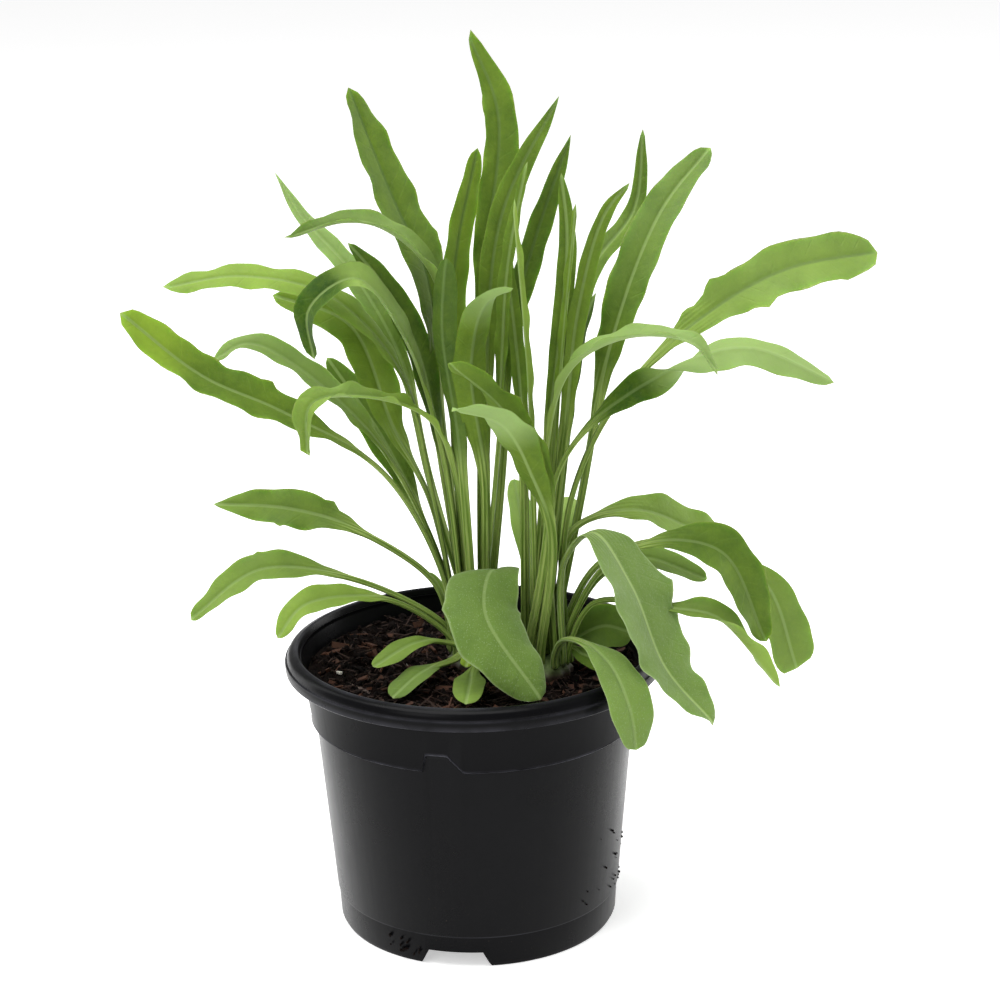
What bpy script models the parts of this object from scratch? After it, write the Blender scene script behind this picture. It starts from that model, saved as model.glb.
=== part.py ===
"""Potted cornflower: a young perennial in leaf, in its one litre nursery pot.

Frame: metres, +Z up, -Y is the front. The origin is the pot's axis on the
surface that the pot stands on.
"""
import math

import bmesh
import bpy
from mathutils import Matrix, Vector

MM = 0.001

# Pot, in millimetres
POT_HEIGHT = 99.0
RIM_RADIUS = 65.0
RIM_DEPTH = 7.0
RIM_WIDTH = 6.0
RIM_ROUND = 2.0
COLLAR_DEPTH = 25.0
COLLAR_STEP = 1.6
FOOT_RADIUS = 48.5
FOOT_BAND = 10.0
FOOT_STEP = 0.8
FOOT_ROUND = 0.6
WALL = 1.2
FLOOR_LIFT = 4.0
BOSS_RADIUS = 16.0
BOSS_TAPER = 2.0
NOTCHES = 3
NOTCH_WIDTH = 24.0
NOTCH_TOP_WIDTH = 18.5
NOTCH_HEIGHT = 5.5
NOTCH_AZIMUTH = 261.0
NOTCH_REACH = 9.0
DRAINS = 6
DRAIN_RADIUS = 4.0
DRAIN_INSET = 9.0
TURN_STEPS = 48

# Soil and crowns
GAP = 0.3
SOIL_DROP = 8.0
SOIL_SWELL = 1.5
SOIL_RINGS = 7
SOIL_STEPS = 36
CALM_CROWN = 12.0
CALM_WALL = 8.0
CROWN_HEIGHT = 2.0
CROWN_RADIUS = 11.4
CROWN_CHAMFER = 0.8
# The crowns' spacing, their rings and the leaves' routes are drawn for this crown
ROUTE_CROWN = 11.4
CROWN_PLACE = (2.0, 5.0)
CROWN_STEP = (21.0, -10.0)
CROWN_APART = math.hypot(*CROWN_STEP)
CROWN_REACH = (CROWN_APART + 2.0 * (CROWN_RADIUS - ROUTE_CROWN)) / CROWN_APART
CROWNS = {"a": CROWN_PLACE,
          "b": (CROWN_PLACE[0] + CROWN_STEP[0] * CROWN_REACH, CROWN_PLACE[1] + CROWN_STEP[1] * CROWN_REACH)}
RINGS = {"heart": 1.8, "inner": 4.8, "middle": 7.7, "outer": 10.6}

# Leaves: the routes below are drawn for this rim and this height of plant
ROUTE_RIM = 65.0
ROUTE_HEIGHT = 240.0
PLANT_HEIGHT = 240.0
STALK_WIDTH = 2.8
STALK_THICKNESS = 1.8
BLADE_THICKNESS = 0.9
BLADE_FOLD = 16.0
BLADE_EASE = 0.25
TIP_START = 2.6
TIP_ROUND = 0.6
STATIONS = 14
LEAD = 5.0


def leaf(crown, ring, heading, width, route, blade=0.4, widest=0.72, roll=0.0, seat=None):
    """One leaf: its crown, where on it the stalk stands, which way it leans, and its midrib.

    The route's points are millimetres out from the crown's axis, up from its
    top and, where there is a third, aside to the left of the heading.
    """
    return dict(crown=crown, ring=ring, heading=heading, width=width, route=route,
                blade=blade, widest=widest, roll=roll, seat=heading if seat is None else seat)


LEAVES = {
    # Upright leaves of the left crown
    "leaf_tall_left": leaf("a", "inner", 155, 17, [(12, 79), (17, 133), (28, 156), (38, 179), (44, 194)],
                           seat=130, widest=0.77, roll=-15),
    "leaf_thin_left": leaf("a", "middle", 140, 9, [(21, 59), (33, 100), (54, 127), (78, 145), (90, 159)],
                           seat=107, roll=-30),
    "leaf_arch_left": leaf("a", "inner", 190, 10, [(7, 67), (13, 134), (29, 151), (42, 154), (62, 149)],
                           seat=206, roll=-15),
    "leaf_dark_left": leaf("a", "inner", 178, 11, [(11, 62), (19, 109), (30, 131), (41, 145)],
                           seat=170, roll=-50),
    "leaf_level_left": leaf("a", "middle", 185, 12, [(16, 64), (25, 102), (47, 128), (76, 136), (102, 133)],
                            seat=205, roll=-30),
    "leaf_folded_left": leaf("a", "middle", 198, 11, [(12, 75), (25, 117), (40, 136), (56, 127), (55, 110)],
                             seat=229, roll=-25),
    "leaf_broad_left": leaf("a", "middle", 172, 15, [(16, 55), (28, 80), (42, 116), (68, 126)],
                            seat=157, roll=-60),
    "leaf_long_left": leaf("a", "outer", 195, 15, [(12, 28), (32, 68), (65, 92), (92, 107), (117, 130)],
                           seat=199, roll=-45),
    "leaf_back_left": leaf("a", "middle", 150, 12, [(19, 39), (36, 71), (59, 99)], seat=132, roll=-50),
    "leaf_bowed_left": leaf("a", "middle", 178, 12, [(13, 34), (33, 76), (61, 104), (76, 111), (88, 105)],
                            seat=181, roll=-25),
    "leaf_hook_left": leaf("a", "inner", 215, 9, [(9, 68), (18, 87), (42, 99), (64, 100), (66, 83)],
                           seat=244, roll=-20),
    "leaf_yellow_green": leaf("a", "heart", 120, 9, [(14, 70, -2), (23, 129, -6), (30, 170, -20)],
                              seat=150),
    "leaf_blunt_left": leaf("a", "middle", 240, 8, [(10, 76, 0), (13, 117, -4), (13, 142, -2)],
                            seat=258, widest=0.85),
    "leaf_tallest": leaf("a", "inner", 100, 14, [(7, 71, -2), (13, 136, -7), (19, 184, -13), (25, 211, -4)],
                         seat=92),
    "leaf_pointed": leaf("a", "heart", 60, 9, [(5, 72, -1), (9, 151, -6), (14, 193, -26)],
                         seat=50, roll=30),
    "leaf_slim": leaf("a", "heart", 350, 6, [(8, 74, -1), (12, 136), (19, 172)], seat=290, roll=60),
    "leaf_second": leaf("a", "inner", 80, 9, [(8, 72, -8), (12, 106, -9), (18, 141, -18), (24, 177, -30)],
                        seat=54, roll=20),
    "leaf_front_bright": leaf("a", "inner", 290, 11,
                              [(6, 64, 1), (14, 107, -6), (21, 129, -3), (28, 135, 4)],
                              seat=292),
    # Low leaves of the left crown
    "leaf_low_left": leaf("a", "outer", 165, 14, [(16, 25), (46, 43), (67, 48), (96, 48)],
                          seat=160, blade=0.45, roll=-60),
    "leaf_drooping_left": leaf("a", "outer", 185, 13, [(12, 11), (40, 28), (74, 34), (99, 17)],
                               seat=179, roll=-35),
    "leaf_lip_left": leaf("a", "outer", 205, 11, [(16, 13), (36, 26), (64, 28), (74, 18)],
                          seat=218, roll=-30),
    "leaf_soil_left": leaf("a", "outer", 221, 8, [(16, 8), (28, 11), (47, 7)],
                           seat=233, blade=0.3, roll=-20),
    "leaf_soil_dark": leaf("a", "outer", 233, 11, [(15, 2), (32, 3), (48, -1)], seat=256, blade=0.4),
    "leaf_yellow_bud": leaf("a", "outer", 258, 5, [(13, 4), (22, 3)], seat=278, blade=0.25),
    "leaf_soil_front": leaf("a", "outer", 265, 11, [(22, 2), (36, 2), (50, 1)], seat=298, blade=0.35),
    "leaf_front_broad": leaf("a", "outer", 290, 27, [(15, 33, 4), (23, 37, -4), (35, 27, -10), (54, 2, 2)],
                             seat=318, blade=0.2, widest=0.65),
    "leaf_small_left": leaf("a", "outer", 140, 5, [(12, 12), (22, 25)], seat=136),
    # Upright leaves of the right crown
    "leaf_wing_right": leaf("b", "middle", 10, 18, [(11, 57), (28, 92), (61, 121), (86, 133), (117, 137)],
                            seat=20, blade=0.5, widest=0.85, roll=60),
    "leaf_twisted_right": leaf("b", "middle", 352, 14, [(7, 69), (34, 98), (68, 112), (98, 101)],
                               seat=312, roll=60),
    "leaf_arch_right": leaf("b", "inner", 340, 9, [(3, 76), (12, 105), (32, 117), (54, 116), (62, 106)],
                            seat=332, roll=10),
    "leaf_tall_right": leaf("b", "middle", 40, 15, [(19, 54), (34, 108), (56, 148), (80, 168)],
                            seat=50, roll=25),
    "leaf_hooked_right": leaf("b", "middle", 60, 7, [(23, 88), (36, 127), (72, 146), (78, 172)],
                              seat=72, roll=40),
    "leaf_sickle_right": leaf("b", "inner", 80, 7,
                              [(8, 81, -8), (13, 121, -12), (21, 152, -20), (25, 162, -28)],
                              seat=100, roll=30),
    "leaf_dark_right": leaf("b", "inner", 50, 6, [(14, 73), (25, 112), (32, 124)], seat=60),
    "leaf_back_upright": leaf("b", "middle", 100, 7, [(5, 81, -5), (12, 144, -13), (16, 166, -12)],
                              seat=105),
    "leaf_bud_tip": leaf("b", "heart", 200, 5, [(4, 93, 4), (8, 162, 2)], seat=180),
    "leaf_bud_side": leaf("b", "heart", 25, 5, [(8, 95), (15, 158)], seat=60),
    "leaf_hidden_tip": leaf("b", "middle", 115, 6, [(13, 91), (26, 148)], seat=130),
    "leaf_front_bent": leaf("b", "middle", 235, 12, [(8, 66, 9), (21, 95, 1), (37, 113, -9)], seat=235),
    "leaf_front_rolled": leaf("b", "middle", 255, 9,
                              [(10, 49, 7), (20, 73, 3), (33, 94, -4), (44, 101, -17)],
                              seat=268),
    # Low leaves of the right crown
    "leaf_back_right": leaf("b", "outer", 30, 16, [(12, 44), (38, 48), (64, 36), (84, 24)],
                            seat=30, roll=45),
    "leaf_dark_low_right": leaf("b", "middle", 350, 17, [(21, 34), (41, 45), (62, 42), (77, 11)],
                                seat=336, roll=40),
    "leaf_inner_low_right": leaf("b", "middle", 0, 9, [(20, 30), (34, 37), (57, 29)], seat=357, roll=30),
    "leaf_curled_right": leaf("b", "outer", 344, 12, [(19, 23), (46, 23), (62, 21), (83, -2)],
                              seat=332, roll=30),
    "leaf_oval_right": leaf("b", "outer", 20, 18, [(21, 32), (46, 38), (84, 18), (98, -17)],
                            seat=48, blade=0.55, widest=0.84, roll=50),
    "leaf_front_right": leaf("b", "outer", 325, 25, [(10, 38), (22, 50), (37, 34), (50, 8), (69, -8)],
                             seat=316, blade=0.3, widest=0.62),
    "leaf_rim_right": leaf("b", "outer", 302, 17, [(14, 12), (30, 15), (44, 11), (54, -1), (57, -13)],
                           seat=297, blade=0.3),
    "leaf_round_right": leaf("b", "outer", 5, 16, [(14, 9), (22, 12), (32, 9)], seat=12, blade=0.15, roll=55),
    "leaf_round_low": leaf("b", "outer", 345, 11, [(15, 4), (26, 1)], seat=352, blade=0.2, roll=30),
    "leaf_pale_back": leaf("b", "outer", 110, 9, [(13, 20, -1), (25, 36, -4), (45, 52, -8)], seat=110),
    "leaf_pale_side": leaf("b", "outer", 70, 8, [(13, 28, -4), (25, 45, -2), (40, 47, 2)], seat=75),
}


def smooth(x):
    """Ease from 0 to 1."""
    x = min(max(x, 0.0), 1.0)
    return x * x * (3.0 - 2.0 * x)


def material(name, colour, roughness, metallic=0.0):
    finish = bpy.data.materials.new(name)
    finish.use_nodes = True
    shader = finish.node_tree.nodes["Principled BSDF"]
    shader.inputs["Base Color"].default_value = (*colour, 1.0)
    shader.inputs["Roughness"].default_value = roughness
    shader.inputs["Metallic"].default_value = metallic
    return finish


def piece(name, bm, finish, smooth_angle=40.0):
    """Turn a bmesh in millimetres into a named object in metres."""
    bmesh.ops.recalc_face_normals(bm, faces=bm.faces)
    bmesh.ops.transform(bm, matrix=Matrix.Scale(MM, 4), verts=bm.verts)
    mesh = bpy.data.meshes.new(name)
    bm.to_mesh(mesh)
    bm.free()
    mesh.materials.append(finish)
    mesh.shade_smooth()
    mesh.set_sharp_from_angle(angle=math.radians(smooth_angle))
    obj = bpy.data.objects.new(name, mesh)
    bpy.context.collection.objects.link(obj)
    return obj


def turned(profile, steps=TURN_STEPS):
    """A solid of revolution from (radius, height) points; radius 0 closes on the axis."""
    bm = bmesh.new()
    rows = []
    for radius, height in profile:
        if radius == 0.0:
            rows.append([bm.verts.new((0.0, 0.0, height))])
            continue
        angles = [math.tau * step / steps for step in range(steps)]
        rows.append([bm.verts.new((radius * math.cos(a), radius * math.sin(a), height)) for a in angles])
    for below, above in zip(rows, rows[1:]):
        for step in range(steps):
            nxt = (step + 1) % steps
            ring = [below[step % len(below)], below[nxt % len(below)],
                    above[nxt % len(above)], above[step % len(above)]]
            bm.faces.new(list(dict.fromkeys(ring)))
    return bm


def wall_radius(height):
    """The body's outer radius under the collar, straight from the foot band to the shoulder."""
    shoulder = POT_HEIGHT - COLLAR_DEPTH
    top = RIM_RADIUS - RIM_WIDTH - 2.5 * COLLAR_STEP
    bottom = FOOT_RADIUS + FOOT_STEP
    share = (height - FOOT_BAND) / (shoulder - FOOT_BAND)
    return bottom + (top - bottom) * share


def inner_radius(height):
    """The pot's inner wall, one wall inside the body all the way to the rim."""
    return wall_radius(height) - WALL


def collar_inside(height):
    """The collar's inner wall, from above the shoulder to the rim."""
    shoulder = POT_HEIGHT - COLLAR_DEPTH
    low = shoulder + 2.0 * COLLAR_STEP
    mouth = inner_radius(shoulder) + COLLAR_STEP
    top = RIM_RADIUS - RIM_WIDTH - WALL
    share = (height - low) / (POT_HEIGHT - RIM_DEPTH - low)
    return mouth + (top - mouth) * share


def pot_profile():
    shoulder = POT_HEIGHT - COLLAR_DEPTH
    under_rim = POT_HEIGHT - RIM_DEPTH
    body_top = wall_radius(shoulder)
    collar_low = body_top + COLLAR_STEP
    collar_high = RIM_RADIUS - RIM_WIDTH
    floor_top = FLOOR_LIFT + WALL
    foot_inside = FOOT_RADIUS - 2.0 * WALL
    rim_underside = POT_HEIGHT - 2.0 * WALL
    return [
        (0.0, floor_top),
        (inner_radius(floor_top), floor_top),
        (inner_radius(shoulder), shoulder),
        (collar_inside(shoulder + 2.0 * COLLAR_STEP), shoulder + 2.0 * COLLAR_STEP),
        (collar_inside(under_rim), under_rim),
        (collar_high + RIM_ROUND / 2.0, POT_HEIGHT - RIM_ROUND / 2.0),
        (collar_high + RIM_ROUND, POT_HEIGHT),
        (RIM_RADIUS - 0.8 * RIM_ROUND, POT_HEIGHT),
        (RIM_RADIUS - 0.2 * RIM_ROUND, POT_HEIGHT - 0.3 * RIM_ROUND),
        (RIM_RADIUS, POT_HEIGHT - RIM_ROUND),
        (RIM_RADIUS, under_rim),
        (RIM_RADIUS - WALL, under_rim),
        (RIM_RADIUS - 1.2 * WALL, rim_underside),
        (collar_high + WALL / 3.0, rim_underside),
        (collar_high, under_rim),
        (collar_low, shoulder),
        (body_top, shoulder),
        (wall_radius(FOOT_BAND), FOOT_BAND),
        (FOOT_RADIUS, FOOT_ROUND),
        (FOOT_RADIUS - FOOT_ROUND, 0.0),
        (foot_inside, 0.0),
        (foot_inside, FLOOR_LIFT),
        (BOSS_RADIUS + BOSS_TAPER, FLOOR_LIFT),
        (BOSS_RADIUS, 0.0),
        (0.0, 0.0),
    ]


def cutter(name, bm):
    tool = piece(name, bm, bpy.data.materials["cutter"])
    tool.hide_render = True
    tool.display_type = "WIRE"
    return tool


def cut(target, tool):
    boolean = target.modifiers.new(tool.name, "BOOLEAN")
    boolean.operation = "DIFFERENCE"
    boolean.solver = "EXACT"
    boolean.object = tool


def notch_cutter():
    """Trapezoid wedges that step the foot up."""
    bm = bmesh.new()
    near = FOOT_RADIUS - NOTCH_REACH
    far = FOOT_RADIUS + NOTCH_REACH
    below = -NOTCH_HEIGHT
    slope = (NOTCH_WIDTH - NOTCH_TOP_WIDTH) / (2.0 * NOTCH_HEIGHT)
    low = NOTCH_WIDTH / 2.0 - below * slope
    high = NOTCH_TOP_WIDTH / 2.0
    section = ((-low, below), (low, below), (high, NOTCH_HEIGHT), (-high, NOTCH_HEIGHT))
    for count in range(NOTCHES):
        turn = Matrix.Rotation(math.radians(NOTCH_AZIMUTH + 360.0 / NOTCHES * count), 4, "Z")
        ends = [[bm.verts.new(turn @ Vector((x, y, z))) for y, z in section] for x in (near, far)]
        bm.faces.new(ends[0])
        bm.faces.new(ends[1])
        for side in range(4):
            bm.faces.new([ends[0][side], ends[0][side - 1], ends[1][side - 1], ends[1][side]])
    return cutter("notch_cutter", bm)


def drain_cutter():
    bm = bmesh.new()
    reach = FOOT_RADIUS - DRAIN_INSET
    for count in range(DRAINS):
        azimuth = math.radians(NOTCH_AZIMUTH + 360.0 / DRAINS * count)
        place = Matrix.Translation((reach * math.cos(azimuth), reach * math.sin(azimuth), FLOOR_LIFT))
        bmesh.ops.create_cone(bm, cap_ends=True, segments=12, radius1=DRAIN_RADIUS, radius2=DRAIN_RADIUS,
                              depth=8.0 * WALL, matrix=place)
    return cutter("drain_cutter", bm)


def build_pot():
    pot = piece("pot", turned(pot_profile()), material("pot_black", (0.012, 0.012, 0.014), 0.38))
    material("cutter", (0.8, 0.1, 0.1), 0.5)
    cut(pot, notch_cutter())
    cut(pot, drain_cutter())


def soil_top():
    return POT_HEIGHT - SOIL_DROP


def crown_top():
    return soil_top() + GAP + CROWN_HEIGHT


def soil_height(x, y, edge):
    """Soil level: a gentle swell that dies out at the crowns and the wall."""
    clear = min(math.hypot(x - cx, y - cy) for cx, cy in CROWNS.values()) - CROWN_RADIUS
    calm = smooth(clear / CALM_CROWN) * smooth((edge - math.hypot(x, y)) / CALM_WALL)
    swell = math.sin(0.31 * x + 1.0) * math.cos(0.27 * y - 0.6)
    return soil_top() + SOIL_SWELL * calm * (swell - 0.6)


def build_soil():
    """The peat plug: its sides follow the pot's wall with a gap, its top is a little uneven."""
    floor = FLOOR_LIFT + WALL + GAP
    shoulder = POT_HEIGHT - COLLAR_DEPTH
    brim = soil_top()
    bend = shoulder + 2.0 * COLLAR_STEP
    edge = collar_inside(brim) - GAP
    profile = [(0.0, floor), (inner_radius(floor) - GAP, floor), (inner_radius(shoulder) - GAP, shoulder),
               (collar_inside(bend) - GAP, bend), (edge, brim)]
    profile += [(edge * (1.0 - ring / SOIL_RINGS), brim) for ring in range(1, SOIL_RINGS)]
    profile.append((0.0, brim))
    bm = turned(profile, SOIL_STEPS)
    for vert in bm.verts:
        if vert.co.z > brim - 0.01:
            vert.co.z = soil_height(vert.co.x, vert.co.y, edge)
    bmesh.ops.triangulate(bm, faces=bm.faces)
    piece("soil", bm, material("peat", (0.035, 0.02, 0.012), 0.95))


def build_crowns():
    finish = material("crown_green", (0.2, 0.28, 0.1), 0.6)
    for name, (x, y) in CROWNS.items():
        low = soil_top() + GAP
        top = low + CROWN_HEIGHT
        bm = turned([(0.0, low), (CROWN_RADIUS, low), (CROWN_RADIUS, top - CROWN_CHAMFER),
                     (CROWN_RADIUS - CROWN_CHAMFER, top), (0.0, top)], 20)
        bmesh.ops.translate(bm, vec=(x, y, 0.0), verts=bm.verts)
        piece("crown_" + name, bm, finish)


def midrib(spec):
    """The route's points in the pot's frame, from the stalk's foot to the tip."""
    x, y = CROWNS[spec["crown"]]
    heading = math.radians(spec["heading"])
    seat = math.radians(spec["seat"])
    spread = RIM_RADIUS / ROUTE_RIM
    growth = PLANT_HEIGHT / ROUTE_HEIGHT
    radius = RINGS[spec["ring"]] * CROWN_RADIUS / ROUTE_CROWN
    moved = radius - RINGS[spec["ring"]]
    foot = Vector((x + radius * math.cos(seat), y + radius * math.sin(seat), crown_top() + GAP))
    points = [foot, foot + Vector((0.0, 0.0, LEAD))]
    for out, up, *aside in spec["route"]:
        left = aside[0] if aside else 0.0
        along = Vector((math.cos(heading), math.sin(heading), 0.0)) * (out * spread + moved)
        across = Vector((-math.sin(heading), math.cos(heading), 0.0)) * left * spread
        points.append(Vector((x, y, crown_top() + up * growth)) + along + across)
    return points


def curve_through(points, samples=24):
    """A centripetal Catmull-Rom curve through the points, as many close samples."""
    ends = [points[0] * 2 - points[1], *points, points[-1] * 2 - points[-2]]
    found = []
    for p0, p1, p2, p3 in zip(ends, ends[1:], ends[2:], ends[3:]):
        t1 = (p1 - p0).length ** 0.5
        t2 = t1 + (p2 - p1).length ** 0.5
        t3 = t2 + (p3 - p2).length ** 0.5
        for step in range(samples):
            t = t1 + (t2 - t1) * step / samples
            a1 = p0.lerp(p1, t / t1)
            a2 = p1.lerp(p2, (t - t1) / (t2 - t1))
            a3 = p2.lerp(p3, (t - t2) / (t3 - t2))
            b1 = a1.lerp(a2, t / t2)
            b2 = a2.lerp(a3, (t - t1) / (t3 - t1))
            found.append(b1.lerp(b2, (t - t1) / (t2 - t1)))
    return [*found, points[-1]]


def stations(points, count=STATIONS):
    """Evenly spaced places along the curve, with the direction at each."""
    fine = curve_through(points)
    run = [0.0]
    for a, b in zip(fine, fine[1:]):
        run.append(run[-1] + (b - a).length)
    places = []
    for step in range(count):
        want = run[-1] * step / (count - 1)
        index = next(i for i in range(1, len(run)) if run[i] >= want - 1e-9)
        share = (want - run[index - 1]) / (run[index] - run[index - 1])
        place = fine[index - 1].lerp(fine[index], share)
        low = max(index - 2, 0)
        high = min(index + 1, len(fine) - 1)
        places.append((step / (count - 1), place, (fine[high] - fine[low]).normalized()))
    places[0] = (0.0, places[0][1], Vector((0.0, 0.0, 1.0)))
    return places


def half_width(t, spec):
    """Half the leaf's width: a narrow stalk, a lance-shaped blade and a rounded point."""
    stalk = STALK_WIDTH / 2.0
    full = max(spec["width"] / 2.0, stalk)
    if t < spec["widest"]:
        return stalk + (full - stalk) * smooth((t - spec["blade"]) / (spec["widest"] - spec["blade"]))
    end = (t - spec["widest"]) / (1.0 - spec["widest"])
    return full * (1.0 - end ** TIP_START) ** TIP_ROUND


def build_leaf(name, spec, finish):
    """A closed lens-shaped blade swept along the midrib, its halves raised in a shallow V."""
    heading = math.radians(spec["heading"])
    level = Vector((-math.sin(heading), math.cos(heading), 0.0))
    bm = bmesh.new()
    rows = []
    for t, place, ahead in stations(midrib(spec)):
        blade = smooth((t - spec["blade"]) / BLADE_EASE)
        side = (level - ahead * level.dot(ahead)).normalized()
        side = Matrix.Rotation(math.radians(spec["roll"]) * blade, 3, ahead) @ side
        upper = ahead.cross(side)
        half = half_width(t, spec)
        thick = STALK_THICKNESS + (BLADE_THICKNESS - STALK_THICKNESS) * blade
        fold = math.radians(BLADE_FOLD) * blade
        if t == 1.0:
            rows.append([bm.verts.new(place)])
            break
        lift = upper * half * math.sin(fold)
        reach = side * half * math.cos(fold)
        half_thick = upper * thick / 2.0
        corners = (place + reach + lift, place + half_thick, place - reach + lift, place - half_thick)
        rows.append([bm.verts.new(corner) for corner in corners])
    bm.faces.new(rows[0])
    for low, high in zip(rows, rows[1:]):
        for corner in range(4):
            nxt = (corner + 1) % 4
            ring = [low[corner], low[nxt], high[nxt % len(high)], high[corner % len(high)]]
            bm.faces.new(list(dict.fromkeys(ring)))
    bmesh.ops.triangulate(bm, faces=bm.faces)
    piece(name, bm, finish, 60.0)


def main():
    for obj in list(bpy.data.objects):
        bpy.data.objects.remove(obj, do_unlink=True)
    build_pot()
    build_soil()
    build_crowns()
    finish = material("leaf_green", (0.13, 0.27, 0.03), 0.55)
    for name, spec in LEAVES.items():
        build_leaf(name, spec, finish)


main()
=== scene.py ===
"""Potted cornflower: a young perennial in leaf, in its one litre nursery pot.

The looks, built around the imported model. Lengths are in millimetres until a
piece is finished; the model's frame is metres, +Z up, -Y the front.
"""
import math
import random

import bmesh
import bpy
import numpy as np
from mathutils import Matrix, Vector, noise


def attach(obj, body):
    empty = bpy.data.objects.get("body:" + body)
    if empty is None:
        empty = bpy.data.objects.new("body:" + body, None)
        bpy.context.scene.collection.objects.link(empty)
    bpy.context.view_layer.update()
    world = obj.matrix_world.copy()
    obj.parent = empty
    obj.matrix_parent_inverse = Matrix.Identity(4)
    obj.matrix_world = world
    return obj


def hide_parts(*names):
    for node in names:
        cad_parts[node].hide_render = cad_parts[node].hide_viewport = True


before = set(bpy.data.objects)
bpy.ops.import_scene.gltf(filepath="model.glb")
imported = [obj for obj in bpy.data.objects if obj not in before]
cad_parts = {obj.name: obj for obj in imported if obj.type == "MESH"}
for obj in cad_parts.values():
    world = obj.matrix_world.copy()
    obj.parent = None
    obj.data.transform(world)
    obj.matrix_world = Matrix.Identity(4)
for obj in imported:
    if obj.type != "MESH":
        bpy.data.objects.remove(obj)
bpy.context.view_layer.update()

MM = 0.001

# Pot
POT_HEIGHT = 99.0
RIM_RADIUS = 65.0
RIM_DEPTH = 7.0
RIM_WIDTH = 6.0
COLLAR_DEPTH = 25.0
COLLAR_STEP = 1.6
FOOT_RADIUS = 48.5
FOOT_BAND = 10.0
WALL = 1.2
FLOOR_LIFT = 4.0
BOSS_RADIUS = 16.0
NOTCHES = 3
DRAINS = 6
NOTCH_WIDTH = 24.0
NOTCH_TOP_WIDTH = 18.5
NOTCH_HEIGHT = 5.5
FRONT_NOTCH = 261.0
LUGS = 3
LUG_RISE = 6.2
POT_STEPS = 288
SHOULDER = POT_HEIGHT - COLLAR_DEPTH

# Soil and crowns
GAP = 0.3
SOIL_TOP = POT_HEIGHT - 8.0
CROWN_HEIGHT = 2.0
CROWN_RADIUS = 11.4
CROWN_TOP = SOIL_TOP + GAP + CROWN_HEIGHT
CROWNS = {"a": (2.0, 5.0), "b": (23.0, -5.0)}
RINGS = {"heart": 1.8, "inner": 4.8, "middle": 7.7, "outer": 10.6}

# Leaves
STALK_WIDTH = 3.5
STALK_THICKNESS = 1.8
BLADE_THICKNESS = 0.7
LEAD = 5.0
LEAF_ROWS = 76
LEAF_COLUMNS = 40
MARGIN_WAVE = 22.0
RIPPLE_LENGTH = 19.0
TOOTH_SPREAD = 1.6
KEEL_REACH = 0.8

# Peat surface
WALL_STARTS = 57.0
HEAP_STARTS = 36.0
HEAP_WIDTH = 18.0
HEAP_RISE = 2.2
CALM_CENTRE = (4.0, -24.0)
CALM_RADIUS = 26.0
PLUG_RINGS = 80
PLUG_STEPS = 300

# Litter on the peat
LITTER_SEED = 11
CRUMBS = 2400
FIBRES = 1100
FLAKES = 170
WALL_SPECKS = 30
FOOT_SPECKS = 16
TWIG_PLACE = (-38.0, -19.0)
TWIG_TURN = -52.0
TWIG_SIZE = (19.0, 2.0, 1.7)

# Studio: metres, watts and degrees
FLOOR_SIZE = 40.0
MIDDLE = (0.01, 0.0, 0.13)
SOFTBOXES = [
    # name, place, width, height, power
    ("softbox_top", (-0.25, -0.1, 1.5), 1.3, 1.3, 28.0),
    ("softbox_front", (-0.8, -1.2, 1.0), 0.7, 0.7, 5.0),
    ("panel_left", (-1.0, 0.55, 0.45), 0.4, 1.3, 4.5),
    ("panel_right", (1.0, 0.55, 0.45), 0.5, 1.3, 8.0),
]
WORLD_STRENGTH = 0.45
CAMERA_TARGET = (0.010, 0.0, 0.1502)
CAMERA_DISTANCE = 0.9
CAMERA_TILT = 17.31
CAMERA_LEAN = -0.98
CAMERA_LENS = 95.63
SENSOR_WIDTH = 36.0

# Leaf colours
DEEP_GREEN = (0.024, 0.064, 0.002, 1.0)
LIGHT_GREEN = (0.210, 0.325, 0.022, 1.0)
UNDER_GREEN = (0.23, 0.32, 0.08, 1.0)
DOWNY_DEEP = (0.04, 0.09, 0.008, 1.0)
DOWNY_LIGHT = (0.16, 0.26, 0.035, 1.0)
VEIN_TONE = (0.26, 0.40, 0.07, 1.0)
# The dark midrib colour is painted shade in the crease of a folded midrib.
RIB_CREASE_SHADE = (0.035, 0.085, 0.008, 1.0)
PALE_RIB = (0.38, 0.50, 0.18, 1.0)
UNDER_RIB = (0.42, 0.52, 0.24, 1.0)
BLOOM = (0.28, 0.40, 0.14, 1.0)
STALK_GROOVE = (0.10, 0.175, 0.02, 1.0)
STALK_RIDGE = (0.30, 0.40, 0.10, 1.0)
HAIRY_MARGIN = (0.33, 0.43, 0.22, 1.0)
PLAIN_MARGIN = (0.05, 0.08, 0.015, 1.0)
DOWN = (0.45, 0.55, 0.36, 1.0)


def leaf(crown, ring, heading, width, route, blade=0.4, widest=0.72, roll=0.0, seat=None, **look):
    """One leaf: its crown, the ring its stalk stands on, its heading, full width and midrib.

    The route's points are millimetres out from the crown's axis, up from its
    top and, where there is a third, aside to the left of the heading. seat is
    the azimuth of the stalk's foot, roll turns the blade about its midrib, and
    blade and widest are shares of the length. Angles are in degrees.
    """
    seat = heading if seat is None else seat
    return dict(look, crown=crown, ring=ring, heading=heading, width=width, route=route,
                blade=blade, widest=widest, roll=roll, seat=seat)
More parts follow.
